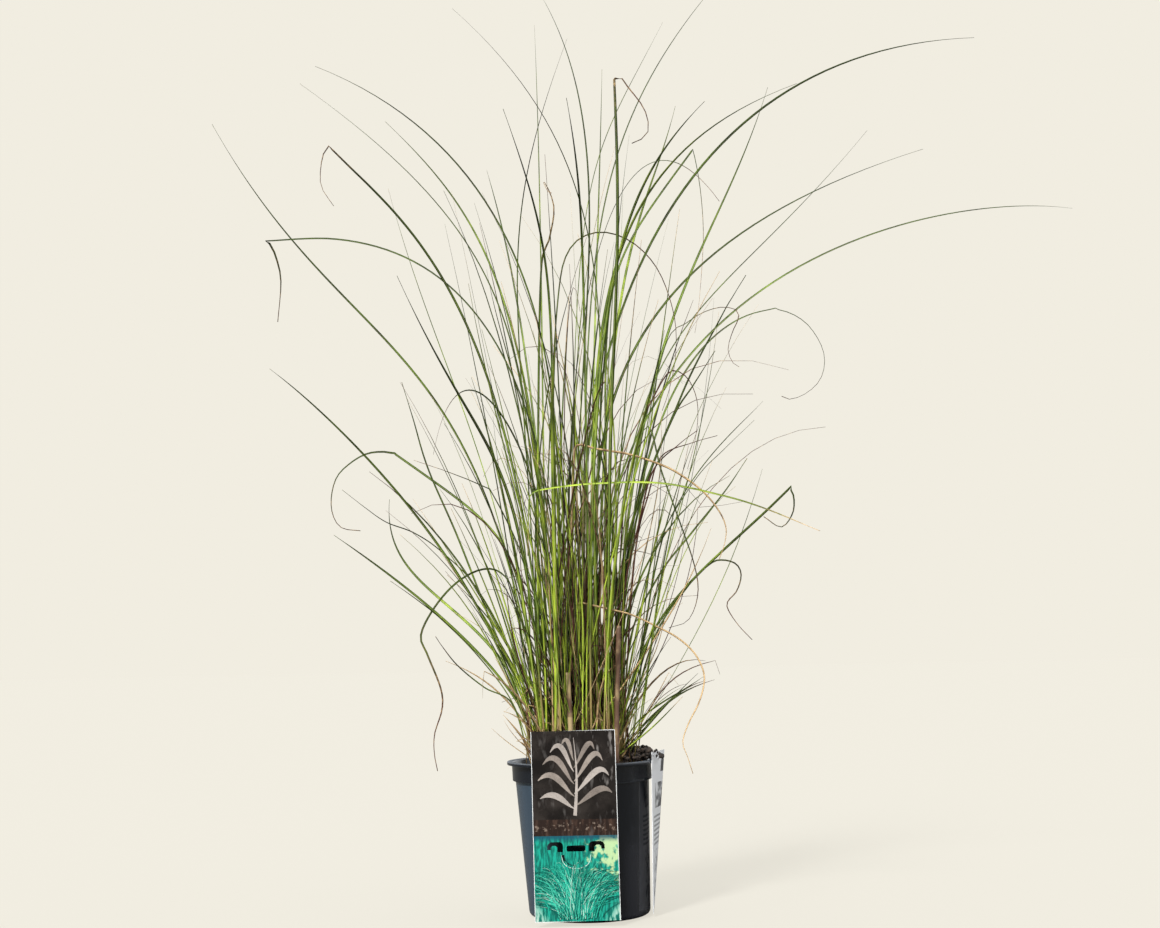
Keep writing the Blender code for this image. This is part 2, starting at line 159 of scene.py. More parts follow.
class Shader:
    """A material that is put together node by node around one Principled shader."""

    def __init__(self, name: str, roughness: float = 0.5, coat: float = 0.0, specular: float = 0.5) -> None:
        """Makes the material.

        Args:
            name: The material's name.
            roughness: The roughness, where nothing varies it.
            coat: The weight of a clear coat.
            specular: The strength of its mirror reflection, a half for most plastics.
        """
        self.material = bpy.data.materials.new(name)
        self.material.use_nodes = True
        self.tree = self.material.node_tree
        self.principled = self.tree.nodes["Principled BSDF"]
        self.principled.inputs["Roughness"].default_value = roughness
        self.principled.inputs["Coat Weight"].default_value = coat
        self.principled.inputs["Specular IOR Level"].default_value = specular
        self.principled.inputs["Coat Roughness"].default_value = 0.12

    def node(self, kind: str, settings: dict[str, Any], inputs: dict[str, Any]) -> bpy.types.Node:
        """Adds a node.

        Args:
            kind: The node's type.
            settings: Its settings, which are set first.
            inputs: Values or links for its sockets, by name.

        Returns:
            The node.
        """
        node = self.tree.nodes.new(kind)
        for name, setting in settings.items():
            setattr(node, name, setting)
        for name, value in inputs.items():
            self.feed(node.inputs[name], value)
        return node

    def feed(self, socket: bpy.types.NodeSocket, value: Any) -> None:
        """Links a value to a socket, or sets the socket to a plain number or colour."""
        if isinstance(value, Value):
            self.tree.links.new(value.socket, socket)
        elif isinstance(value, bpy.types.NodeSocket):
            self.tree.links.new(value, socket)
        elif isinstance(value, tuple) and len(value) == 3 and socket.type == "RGBA":
            socket.default_value = (*value, 1.0)
        else:
            socket.default_value = value

    def place(self) -> bpy.types.NodeSocket:
        """Where a point of the surface lies, in the object's own coordinates."""
        return self.node("ShaderNodeTexCoord", {}, {}).outputs["Object"]

    def axes(self) -> tuple[Value, Value, Value]:
        """The x, y and z of a point of the surface."""
        split = self.node("ShaderNodeSeparateXYZ", {}, {"Vector": self.place()})
        return tuple(Value(self, output) for output in split.outputs)

    def channels(self, attribute: str) -> tuple[Value, Value, Value, Value]:
        """The four numbers that a mesh keeps at each point under an attribute's name."""
        read = self.node("ShaderNodeAttribute", {"attribute_name": attribute}, {})
        split = self.node("ShaderNodeSeparateColor", {}, {"Color": read.outputs["Color"]})
        first, second, third = (Value(self, output) for output in split.outputs)
        return first, second, third, Value(self, read.outputs["Alpha"])

    def noise(self, scale: float, detail: float = 3.0, stretch: Sequence[float] = (1, 1, 1)) -> Value:
        """Cloudy noise around a half.

        Args:
            scale: How many clouds there are to the metre.
            detail: How many finer layers it has.
            stretch: A factor for each axis.

        Returns:
            The noise.
        """
        mapping = self.node("ShaderNodeMapping", {}, {"Vector": self.place()})
        mapping.inputs["Scale"].default_value = tuple(stretch)
        inputs = {"Vector": mapping.outputs[0], "Scale": scale, "Detail": detail}
        return Value(self, self.node("ShaderNodeTexNoise", {}, inputs).outputs[0])

    def mix(self, share: "Value | float", first: Any, second: Any) -> bpy.types.NodeSocket:
        """A colour between two, by share."""
        node = self.node("ShaderNodeMix", {"data_type": "RGBA"}, {})
        self.feed(node.inputs[0], share)
        self.feed(node.inputs[6], first)
        self.feed(node.inputs[7], second)
        return node.outputs[2]

    def scaled(self, colour: Any, factor: Value) -> bpy.types.NodeSocket:
        """A colour made lighter or darker by a factor."""
        inputs = {0: colour, "Scale": factor}
        return self.node("ShaderNodeVectorMath", {"operation": "SCALE"}, inputs).outputs[0]

    def colour(self, colour: Any) -> None:
        """Sets the surface's colour."""
        self.feed(self.principled.inputs["Base Color"], colour)

    def roughness(self, value: Value) -> None:
        """Sets how rough the surface is."""
        self.feed(self.principled.inputs["Roughness"], value)

    def bump(self, height: Value, distance: float, strength: float = 1.0) -> None:
        """Raises the surface by a height.

        Args:
            height: The relief, from nought to one.
            distance: How high one is, in metres.
            strength: How much of it shows.
        """
        inputs = {"Height": height, "Distance": distance, "Strength": strength}
        node = self.node("ShaderNodeBump", {}, inputs)
        self.feed(self.principled.inputs["Normal"], node.outputs[0])


# ---------------------------------------------------------------------------------------------------
# Meshes


class Section(Enum):
    """How finely a blade is cut across: places from edge to edge, over its top and back beneath."""

    FINE = (1.0, 0.5, 0.0, -0.5, -1.0, -0.5, 0.0, 0.5)
    PLAIN = (1.0, 0.0, -1.0, 0.0)


def make_piece(name: str, points: Array, faces: list, material: bpy.types.Material) -> Any:
    """Makes a smooth mesh object that rides on the root body.

    Args:
        name: The piece's name.
        points: Its points, an array of rows of three.
        faces: Its faces, as lists of point numbers.
        material: What it is made of.

    Returns:
        The object.
    """
    mesh = bpy.data.meshes.new(name)
    mesh.from_pydata(points.reshape(-1, 3).tolist(), [], faces)
    mesh.materials.append(material)
    mesh.shade_smooth()
    piece = bpy.data.objects.new(name, mesh)
    bpy.context.scene.collection.objects.link(piece)
    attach(piece, "root")
    LOG.info("%s: %d faces", name, len(mesh.polygons))
    return piece


def paint(piece: Any, attribute: str, values: Array) -> None:
    """Keeps four numbers at each point of a piece, for its material."""
    layer = piece.data.attributes.new(attribute, "FLOAT_COLOR", "POINT")
    layer.data.foreach_set("color", values.astype(np.float32).ravel())


def tube_faces(count: int, rings: int, around: int) -> list:
    """The faces of closed tubes whose points lie tube by tube and ring by ring.

    The sides are four-cornered, and each end is closed by one face.

    Args:
        count: How many tubes there are.
        rings: How many rings a tube has.
        around: How many points a ring has.

    Returns:
        The faces, as lists of point numbers.
    """
    tube = np.arange(count)[:, None, None] * rings * around
    ring = np.arange(rings - 1)[None, :, None] * around
    here = np.arange(around)[None, None, :]
    following = (here + 1) % around
    corners = (tube + ring + here, tube + ring + following)
    sides = np.stack([corners[0], corners[1], corners[1] + around, corners[0] + around], -1)
    start = np.arange(count)[:, None] * rings * around + np.arange(around)[None, ::-1]
    finish = np.arange(count)[:, None] * rings * around + (rings - 1) * around + np.arange(around)
    return sides.reshape(-1, 4).tolist() + start.tolist() + finish.tolist()


def unit(vectors: Array) -> Array:
    """Vectors of length one, along the last axis."""
    return vectors / np.maximum(np.linalg.norm(vectors, axis=-1, keepdims=True), 1e-12)


def bezier(control: Array, rings: int) -> Array:
    """Cubic Bezier curves, at even steps.

    Args:
        control: (curves, 4, 3) control points.
        rings: How many points each curve is given.

    Returns:
        (curves, rings, 3) points.
    """
    share = np.linspace(0.0, 1.0, rings)
    rest = 1.0 - share
    weights = np.stack([rest**3, 3 * rest**2 * share, 3 * rest * share**2, share**3], -1)
    return np.einsum("rk,ckx->crx", weights, control)


def smooth_route(knots: Array, rings: int) -> Array:
    """A smooth curve through points, as (rings, 3).

    Between two knots the curve is the cubic whose slope at a knot is half the way from the knot before
    to the knot after (Catmull-Rom), and the rings are spread evenly along its length.

    Args:
        knots: (knots, 3) points to pass through.
        rings: How many points the curve is given.

    Returns:
        (rings, 3) points.
    """
    padded = np.concatenate([2 * knots[:1] - knots[1:2], knots, 2 * knots[-1:] - knots[-2:-1]])
    before, here, there, after = padded[:-3], padded[1:-2], padded[2:-1], padded[3:]
    share = np.linspace(0.0, 1.0, 24, endpoint=False)[None, :, None]
    bend = 2 * before - 5 * here + 4 * there - after
    turn = 3 * (here - there) + after - before
    slope = there - before
    parts = [2 * here, slope, bend, turn]
    curve = 0.5 * sum(part[:, None] * share**power for power, part in enumerate(parts))
    curve = np.concatenate([curve.reshape(-1, 3), knots[-1:]])
    steps = np.r_[0.0, np.cumsum(np.linalg.norm(np.diff(curve, axis=0), axis=1))]
    even = np.linspace(0.0, steps[-1], rings)
    return np.stack([np.interp(even, steps, curve[:, axis]) for axis in range(3)], -1)


def sweep(spines: Array, sides: Array, widths: Array, folds: Array, thick: float, turns: Array,
          section: Section) -> Array:
    """Blades carried along their spines, as (blades, rings, places, 3).

    At a place a across the blade, from -1 at one edge to 1 at the other, the point is
    spine + a * width / 2 * side + (fold * |a| * width / 2 + lift) * up, where the side vector is
    turned about the spine by the turn, and lift is half the thickness at the midrib, thinning outwards.

    Args:
        spines: (blades, rings, 3) points.
        sides: (blades, 3) vectors across the blades.
        widths: (blades, rings) widths.
        folds: (blades,) how steeply the two halves stand up from the midrib.
        thick: The thickness at the midrib.
        turns: (blades, rings) angles of twist.
        section: How finely the blade is cut across.

    Returns:
        The points.
    """
    along = unit(np.gradient(spines, axis=1))
    flat = sides[:, None, :] - along * (along * sides[:, None, :]).sum(-1, keepdims=True)
    flat = unit(flat)
    up = np.cross(along, flat)
    cosine, sine = np.cos(turns)[..., None], np.sin(turns)[..., None]
    side, up = flat * cosine + up * sine, up * cosine - flat * sine
    place = np.array(section.value)
    face = np.r_[np.ones(len(place) // 2 + 1), -np.ones(len(place) // 2 - 1)]
    face[[0, len(place) // 2]] = 0.0
    half = widths[..., None] / 2
    lift = folds[:, None, None] * np.abs(place) * half
    lift = lift + face * thick / 2 * (1.0 - 0.6 * np.abs(place)) * np.minimum(1.0, half / (2 * thick))
    outwards = side[:, :, None] * (place * half)[..., None]
    return spines[:, :, None] + outwards + up[:, :, None] * lift[..., None]


def ring_centres(node: str) -> tuple[Array, Array]:
    """The middles and half-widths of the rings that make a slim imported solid, from its root up.

    A ring's points lie closer to each other than to any other ring, so points within reach of each
    other share a ring, and each ring is followed by its nearest neighbour that is still free.

    Args:
        node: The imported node's name.

    Returns:
        The middles, (rings, 3), and the half-widths, (rings,).
    """
    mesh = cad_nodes()[node].data
    points = np.empty(len(mesh.vertices) * 3)
    mesh.vertices.foreach_get("co", points)
    points = np.unique(np.round(points.reshape(-1, 3), 6), axis=0)
    apart = np.linalg.norm(points[:, None] - points[None], axis=-1)
    label = np.argmax(apart < RING_REACH, axis=1)
    names, index = np.unique(label, return_inverse=True)
    total = np.zeros((len(names), 3))
    np.add.at(total, index.ravel(), points)
    centres = total / np.bincount(index.ravel())[:, None]
    spread = np.zeros(len(names))
    np.maximum.at(spread, index.ravel(), np.linalg.norm(points - centres[index.ravel()], axis=1))
    order = [int(np.argmin(centres[:, 2]))]
    while len(order) < len(centres):
        away = np.linalg.norm(centres - centres[order[-1]], axis=1)
        away[order] = np.inf
        order.append(int(np.argmin(away)))
    return centres[order], spread[order]


def fitted_bezier(centres: Array) -> Array:
    """The cubic curve that passes nearest the ring centres at even steps.

    Args:
        centres: (rings, 3) points.

    Returns:
        Its four control points.
    """
    share = np.linspace(0.0, 1.0, len(centres))
    rest = 1.0 - share
    weights = np.stack([rest**3, 3 * rest**2 * share, 3 * rest * share**2, share**3], -1)
    return np.linalg.lstsq(weights, centres, rcond=None)[0]


# ---------------------------------------------------------------------------------------------------
# Finishes


@dataclass(frozen=True)
class LeafFinish:
    """Satin green leaf: pale midrib, fine veins, straw-coloured foot and browned tips, in painted light and
    shade.

    The mesh keeps, at each point, how far along the leaf it is, how far across, the leaf's tone from
    a dark green in painted shade to a bright green in painted sunlight, and how dry it is.
    """

    # painted shade: a near-black green
    painted_shade_green: Colour = (0.009, 0.014, 0.004)
    middle: Colour = (0.105, 0.180, 0.010)
    # painted light: a sunlit yellow-green
    painted_sunlit_green: Colour = (0.560, 0.720, 0.060)
    midrib: Colour = (0.560, 0.620, 0.220)
    foot: Colour = (0.400, 0.280, 0.110)
    straw: Colour = (0.660, 0.450, 0.220)
    brown: Colour = (0.095, 0.036, 0.024)

    def material(self) -> bpy.types.Material:
        """Builds the finish."""
        shader = Shader("leaf_finish", specular=0.14)
        along, across, tone, dry = shader.channels("blade")
        cloud = shader.noise(26.0, 3.0)
        fine = shader.noise(160.0, 4.0)
        # tone and cloud blend the dark, middle and bright greens: partly the blades' own tone, partly painted
        # shade and painted sunlight
        shade = tone + (cloud - 0.5) * 1.3
        green = shader.mix(shade.ramp(0.0, 0.55), self.painted_shade_green, self.middle)
        green = shader.mix(shade.ramp(0.45, 1.0), green, self.painted_sunlit_green)
        rib = abs(across - 0.5).ramp(0.13, 0.03)
        green = shader.mix(rib * 0.6, green, self.midrib)
        # darker towards the tip
        green = shader.mix(along.ramp(0.35, 0.95) * 0.8, green, self.painted_shade_green)
        withered = shader.mix((fine + (tone - 0.5)).ramp(0.25, 0.75), self.brown, self.straw)
        patchy = (dry * 1.5 + (fine - 0.5) * 0.5 * (dry.above(0.02))).ramp(0.35, 0.85)
        colour = shader.mix(patchy, green, withered)
        foot = along.ramp(0.13, 0.03) * (cloud.ramp(0.3, 0.6) * 0.5 + 0.5)
        colour = shader.mix(foot, colour, self.foot)
        shader.colour(colour)
        shader.roughness(0.40 + fine * 0.22 + dry * 0.2)
        veins = (across * (math.pi * 2 * 9)).sine() * 0.5 + 0.5
        shader.bump(veins * 0.6 + rib * 0.8 + fine * 0.4, 0.0003, 0.7)
        return shader.material


@dataclass(frozen=True)
class StalkFinish:
    """Stems and canes: long fibres, pale sheaths and dark joints.

    The mesh keeps how far along a stalk a point is, its place round it, its tone, and its dryness.
    """

    green: Colour = (0.200, 0.270, 0.060)
    pale: Colour = (0.500, 0.480, 0.230)
    straw: Colour = (0.450, 0.330, 0.160)
    brown: Colour = (0.120, 0.062, 0.034)

    def material(self) -> bpy.types.Material:
        """Builds the finish."""
        shader = Shader("stalk_finish", roughness=0.5)
        _, _, tone, dry = shader.channels("blade")
        fibres = shader.noise(500.0, 3.0, (1.0, 1.0, 0.04))
        blotch = shader.noise(45.0, 4.0)
        fresh = shader.mix(tone * 0.8 + fibres * 0.3, self.green, self.pale)
        withered = shader.mix((blotch + (tone - 0.5) * 0.8).ramp(0.35, 0.65), self.brown, self.straw)
        colour = shader.mix((dry + (blotch - 0.5) * 0.5).ramp(0.25, 0.7), fresh, withered)
        colour = shader.mix(fibres.ramp(0.62, 0.75) * 0.4, colour, self.brown)
        shader.colour(colour)
        shader.roughness(0.4 + fibres * 0.3)
        shader.bump(fibres, 0.0004, 0.8)
        return shader.material


@dataclass(frozen=True)
class CompostFinish:
    """Moist dark peat with brown fibres."""

    wet: Colour = (0.010, 0.007, 0.005)
    dry: Colour = (0.060, 0.038, 0.024)

    def material(self) -> bpy.types.Material:
        """Builds the finish."""
        shader = Shader("compost_finish", roughness=0.9)
        lumps = shader.noise(220.0, 6.0)
        patches = shader.noise(40.0, 3.0)
        shader.colour(shader.mix((lumps * 0.6 + patches * 0.4).ramp(0.38, 0.66), self.wet, self.dry))
        shader.roughness(0.65 + lumps * 0.35)
        shader.bump(lumps, 0.002)
        return shader.material


@dataclass(frozen=True)
class PotFinish:
    """Glossy moulded black plastic, a little dusty, with faint flow marks, painted edge highlights and
    painted reflections.
    """

    black: Colour = (0.0050, 0.0068, 0.0105)
    # the grey of the dust, and also of the painted highlights along the ledge and the lip's top
    dust_and_highlight_colour: Colour = (0.045, 0.052, 0.062)
    # painted reflection: the blue-grey of a bright reflection on the left flank
    painted_left_reflection: Colour = (0.034, 0.053, 0.074)
    # painted reflection: the grey of a soft reflection low on the right front
    painted_sheen: Colour = (0.024, 0.025, 0.033)
    ledge: float = 0.1485
    top: float = 0.170
    ribs: float = 300.0

    def material(self) -> bpy.types.Material:
        """Builds the finish."""
        shader = Shader("pot_finish", specular=0.5)
        x, y, z = shader.axes()
        grime = shader.noise(60.0, 6.0)
        streaks = shader.noise(90.0, 3.0, (1.0, 1.0, 0.12))
        speck = shader.noise(900.0, 2.0).ramp(0.70, 0.78)
        dust_and_highlight = (grime * 0.5 + streaks * 0.5).ramp(0.50, 0.80) * 0.30 + speck * 0.15
        dust_and_highlight = dust_and_highlight + z.ramp(0.016, 0.0) * 0.25
        # painted highlights: a pale line along the ledge and round the lip's top, mixed in with the dust
        painted_edge_highlight = z.between(self.ledge - 0.0009, self.ledge + 0.0004) + z.above(self.top - 0.0006)
        dust_and_highlight = dust_and_highlight + painted_edge_highlight * 1.6 * (streaks + 0.25)
        colour = shader.mix(dust_and_highlight, self.black, self.dust_and_highlight_colour)
        # painted reflection: a blue-grey band down the left flank under the ledge, its inner edge curving
        # with height
        left_reflection_mask = (x * -1.0 + (z - 0.05).ramp(-0.035, 0.05) * 0.012).ramp(0.042, 0.062) * (streaks * 0.5 + 0.75)
        colour = shader.mix(left_reflection_mask * z.below(self.ledge), colour, self.painted_left_reflection)
        # painted reflection: a soft grey patch low on the right of the pot's front half
        low = (x - 0.040 - streaks * 0.010).ramp(-0.012, 0.002) * x.ramp(0.066, 0.052) * z.ramp(0.105, 0.060)
        colour = shader.mix(low * y.below(0.0) * 0.75, colour, self.painted_sheen)
        shader.colour(colour)
        shader.roughness(0.10 + dust_and_highlight * 0.4 + streaks * 0.06)
        ribs = (y.bearing(x + 0.007) * self.ribs).sine() * 0.5 + 0.5
        ribs = ribs * z.between(self.ledge + 0.0025, self.top - 0.0045) * x.above(0.020)
        shader.bump(grime * 0.3 + streaks * 0.2 + ribs, 0.0004, 0.6)
        return shader.material


@dataclass(frozen=True)
class PrintedCardFinish:
    """The front label: a dark upper half, a brown strip and a teal lower half, with white edges and a painted
    sheen at the upper right.
    """

    black: Colour = (0.009, 0.007, 0.006)
    bronze: Colour = (0.040, 0.032, 0.027)
    strip: Colour = (0.022, 0.013, 0.010)
    navy: Colour = (0.010, 0.070, 0.110)
    teal: Colour = (0.012, 0.340, 0.240)
    deep: Colour = (0.005, 0.120, 0.090)
    pale: Colour = (0.520, 0.680, 0.340)
    white: Colour = (0.780, 0.780, 0.760)
    strip_low: float = 0.445
    strip_high: float = 0.530
    edge: float = 0.0006

    def material(self, low: Sequence[float], high: Sequence[float], lean: float) -> bpy.types.Material:
        """Builds the finish for a card in a box.

        Args:
            low: The card's lowest corner.
            high: Its highest corner.
            lean: How far its middle moves along X from its foot to its top.
        """
        shader = Shader("front_label_finish", coat=0.05, specular=0.25)
        x, _, z = shader.axes()
        height = (z - low[2]) / (high[2] - low[2])
        middle = (low[0] + high[0]) / 2
        width = high[0] - low[0] - abs(lean)
        across = (x - middle - (height - 0.5) * lean) / width
        clouds = shader.noise(38.0, 4.0)
        scuffs = shader.noise(140.0, 5.0, (1.0, 1.0, 0.35)).ramp(0.56, 0.72)
        upper = shader.mix(clouds.ramp(0.35, 0.75) * 0.8, self.black, self.bronze)
        band = height.between(self.strip_low, self.strip_high)
        grain = shader.noise(300.0, 4.0, (1.0, 1.0, 0.2)).ramp(0.45, 0.7)
        specks = shader.noise(330.0, 4.0).ramp(0.56, 0.68) * height.between(0.470, 0.515)
        strip = shader.mix(grain * 0.8, self.strip, (0.070, 0.040, 0.028))
        strip = shader.mix(specks * 0.5, strip, (0.34, 0.26, 0.20))
        blades = shader.noise(420.0, 4.0, (1.0, 1.0, 0.22))
        lower = shader.mix(blades.ramp(0.38, 0.62), self.deep, self.teal)
        mottle = shader.noise(170.0, 5.0)
        sunny = (across * 1.5 + (height - 0.30) * 2.0 + (clouds + mottle * 2.0 - 1.5) * 1.4).ramp(0.5, 0.95)
        lower = shader.mix(sunny * 0.85, lower, self.pale)
        foot = (abs(across) * 2.0 + (0.10 - height) * 3.0).ramp(0.85, 1.2)
        lower = shader.mix(foot * blades.ramp(0.45, 0.6), lower, (0.42, 0.60, 0.50))
        lower = shader.mix(height.ramp(0.405, 0.44) * 0.9, lower, self.navy)
        colour = shader.mix(height.above(self.strip_low), lower, upper)
        colour = shader.mix(band, colour, strip)
        # scuffs over the upper half, thicker towards the upper right corner, where they paint a pale sheen
        corner = (across * 1.2 + (height - 0.75) * 1.4).ramp(0.1, 0.6)
        scuffs_and_painted_sheen = scuffs * height.above(self.strip_low) * (corner * 0.35 + 0.10)
        colour = shader.mix(scuffs_and_painted_sheen, colour, (0.42, 0.38, 0.35))
        rim = abs(across).above(0.5 - self.edge / width)
        rim = rim + (height * (1.0 - height)).below(self.edge / (high[2] - low[2]))
        colour = shader.mix(rim.ramp(0.0, 0.5), colour, self.white)
        shader.colour(colour)
        shader.roughness(0.22 + scuffs * 0.3 + clouds * 0.1)
        shader.bump(clouds * 0.8 + scuffs * 0.2, 0.0004, 0.2)
        return shader.material


@dataclass(frozen=True)
class StripLabelFinish:
    """The white side label, with plain grey blocks and bars where print would be, and greyer over its far
    part.
    """

    white: Colour = (0.800, 0.800, 0.800)
    grey: Colour = (0.050, 0.050, 0.055)

    def material(self) -> bpy.types.Material:
        """Builds the finish."""
        shader = Shader("side_label_finish", roughness=0.32)
        _, y, z = shader.axes()
        cloud = shader.noise(60.0, 4.0)
        block = z.between(0.116, 0.144) * y.above(-0.020)
        bars = (z * 1250.0).sine().above(0.1) * z.between(0.074, 0.110) * y.above(-0.026)
        panel = z.between(0.155, 0.169) * y.above(0.002)
        flecks = shader.noise(420.0, 3.0, (1.0, 1.0, 0.35)).ramp(0.50, 0.58)
        foot = z.between(0.018, 0.070) * y.above(-0.020) * flecks
        ink = block * cloud.ramp(0.35, 0.55) * 0.9 + bars * 0.6 + panel + foot * 0.9
        # greyer over the part of the strip past y = 13.5 mm, from 10 mm to 150 mm up
        ink = ink + y.above(0.0135) * z.between(0.010, 0.150) * 0.6
        shader.colour(shader.mix(ink.ramp(0.0, 1.0), self.white, self.grey))
        shader.roughness(0.28 + cloud * 0.15)
        shader.bump(cloud, 0.0005, 0.3)
        return shader.material


@dataclass(frozen=True)
class PrintFinish:
    """Printed strokes, whose colour each point of the mesh keeps, under a cloudy painted sheen."""

    def material(self) -> bpy.types.Material:
        """Builds the finish."""
        shader = Shader("print_finish", coat=0.05, specular=0.25)
        read = shader.node("ShaderNodeAttribute", {"attribute_name": "ink"}, {})
        speckle = shader.noise(600.0, 3.0)
        painted_sheen = shader.noise(55.0, 3.0)
        # painted sheen: cloudy noise lightens and darkens the printed colour
        shader.colour(shader.scaled(read.outputs["Color"], 0.2 + speckle * 0.4 + painted_sheen * 1.1))
        shader.roughness(0.2 + speckle * 0.15)
        return shader.material


# ---------------------------------------------------------------------------------------------------
# The plant


@dataclass
class Blades:
    """Many blades that are made together as one mesh.

    Fields are arrays with one entry, or one row of rings, for each blade.
    """

    spines: Array
    sides: Array
    widths: Array
    folds: Array
    turns: Array
    tones: Array
    dryness: Array
    thick: float = 0.0004
    section: Section = Section.PLAIN

    def build(self, name: str, material: bpy.types.Material, slot: str) -> Any:
        """Makes the mesh and keeps along, across, tone and dryness at each point."""
        points = sweep(self.spines, self.sides, self.widths, self.folds, self.thick, self.turns, self.section)
        count, rings, around = points.shape[:3]
        piece = make_piece(name, points, tube_faces(count, rings, around), material)
        values = np.empty((count, rings, around, 4))
        values[..., 0] = np.linspace(0.0, 1.0, rings)[None, :, None]
        values[..., 1] = np.array(self.section.value)[None, None, :] / 2 + 0.5
        values[..., 2] = self.tones[:, None, None]
        values[..., 3] = self.dryness[:, :, None]
        paint(piece, "blade", values)
        return piece


def blade_width(rings: int, broadest: Array, foot: float = 0.6, point: float = 4.0,
                least: float = 0.4) -> Array:
    """Widths along blades: from a narrower foot to the broadest at a third, then a long taper.

    The width is broadest * (foot + (1 - foot) * rise) * (1 - share ** point) ** 0.9 with a rise that is
    complete at a third of the way, and it is never under the least, which is in mm.

    Args:
        rings: How many widths a blade is given.
        broadest: (blades,) widths at their broadest, in metres.
        foot: The foot's width as a share of the broadest.
        point: How late the blade narrows to its tip.
        least: The least width, in mm.

    Returns:
        (blades, rings) widths in metres.
    """
    share = np.linspace(0.0, 1.0, rings)
    rise = np.clip(share * 3.0, 0.0, 1.0) ** 0.7
    shape = (foot + (1.0 - foot) * rise) * (1.0 - share**point) ** 0.9
    return np.maximum(broadest[:, None] * shape[None], least * MM)


@dataclass(frozen=True)
class Habit:
    """How a packed leaf grows: its breadth in mm, tone, dryness at its tip, and where its tip curls to.

    The curl is a list of traced (x, z) places in mm past the leaf's own tip, at the tip's depth, which
    were made in the same way as a Route's.
    """

    breadth: float = 4.4
    tone: float = 0.5
    dry_tip: float = 0.3
    curl: tuple = ()


HABITS = {
    "leaf_01": Habit(4.2, 0.30),
    "leaf_02": Habit(4.4, 0.35),
    "leaf_03": Habit(4.6, 0.30),
    "leaf_04": Habit(3.6, 0.40),
    "leaf_05": Habit(3.4, 0.45),
    "leaf_06": Habit(4.8, 0.28, 0.5, ((-337, 741), (-331, 728), (-325, 700), (-328, 654))),
    "leaf_07": Habit(3.4, 0.35, 0.8, ((-275, 838), (-278, 825), (-278, 800), (-264, 777))),
    "leaf_08": Habit(3.4, 0.55, 0.4),
    "leaf_10": Habit(3.6, 0.40, 0.7, (
        (-246, 545), (-267, 543), (-287, 532), (-304, 515), (-311, 490), (-309, 467), (-298, 451),
        (-275, 447))),
    "leaf_11": Habit(2.6, 0.20, 1.0),
    "leaf_15": Habit(4.4, 0.30),
    "leaf_18": Habit(5.2, 0.35),
    "leaf_20": Habit(4.6, 0.40, 0.9, ((47, 894), (56, 881), (72, 858), (77, 838), (73, 826), (59, 819))),
    "leaf_26": Habit(3.0, 0.25, 0.7),
    "leaf_30": Habit(4.8, 0.30),
    "leaf_33": Habit(3.6, 0.30),
    "leaf_35": Habit(4.8, 0.28),
    "leaf_36": Habit(3.4, 0.30, 0.6, (
        (271, 714), (291, 699), (306, 674), (310, 651), (303, 628), (286, 612), (266, 604), (254, 608))),
    "leaf_37": Habit(3.2, 0.40, 0.9, (
        (166, 968), (172, 921), (174, 865), (170, 809), (163, 749), (158, 722))),
    "leaf_40": Habit(3.6, 0.45, 0.5, ((235, 458), (233, 440), (220, 425), (201, 437))),
}


@dataclass
class PackedLeaves:
    """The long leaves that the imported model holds, each drawn out as a keeled blade."""

    rings: int = 56
    fold: float = 0.38
    roll: float = 0.85
    slimness: float = 0.82
    thick: float = 0.0006

    def build(self, material: bpy.types.Material) -> None:
        """Makes one piece for each packed leaf, in its place.

        Args:
            material: The leaf finish.
        """
        names = sorted(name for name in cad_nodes() if name.startswith("leaf_"))
        random = np.random.default_rng(SEED)
        for name in names:
            habit = HABITS.get(name, Habit(tone=0.2 + 0.5 * random.random()))
            spine = self.course(name, habit)
            reach = spine[-1] - spine[0] if not habit.curl else spine[self.rings // 2] - spine[0]
            side = unit(np.array([-reach[1], reach[0], 0.0]))
            share = np.linspace(0.0, 1.0, len(spine))
            leaf = Blades(
                spines=spine[None],
                sides=side[None],
                widths=blade_width(len(spine), np.array([habit.breadth * self.slimness * MM]),
                                   point=9.0 if habit.curl else 4.0, least=1.0 if habit.curl else 0.5),
                folds=np.array([self.fold]),
                turns=(self.roll * random.choice([-1.0, 1.0]) + random.uniform(-0.5, 0.5) * share)[None],
                tones=np.array([habit.tone]),
                dryness=(habit.dry_tip * share**6)[None],
                thick=self.thick,
                section=Section.FINE,
            )
            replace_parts(leaf.build(f"{name}_blade", material, "leaf"), name)

    def course(self, name: str, habit: Habit) -> Array:
        """The leaf's spine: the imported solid's, and then its curl.

        Args:
            name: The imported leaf's name.
            habit: How it grows.

        Returns:
            (rings, 3) points.
        """
        centres, _ = ring_centres(name)
        curve = bezier(fitted_bezier(centres)[None], self.rings)[0]
        curve[0, 2] -= 3 * MM
        if not habit.curl:
            return curve
        depth = curve[-1, 1]
        curl = np.array([(x * MM, depth, z * MM) for x, z in habit.curl])
        return smooth_route(np.concatenate([curve[::5], curve[-1:], curl]), self.rings + 24)


@dataclass(frozen=True)
class Route:
    """A leaf whose course is a list of traced (x, z) places in mm, with its depths at root and tip.

    A scratch program turned the tracing into mm with a camera model. Some places were changed after.
    """

    name: str
    places: tuple
    depth: tuple[float, float]
    breadth: float = 3.5
    tone: float = 0.5
    dry: float = 0.0
    dry_tip: float = 0.3


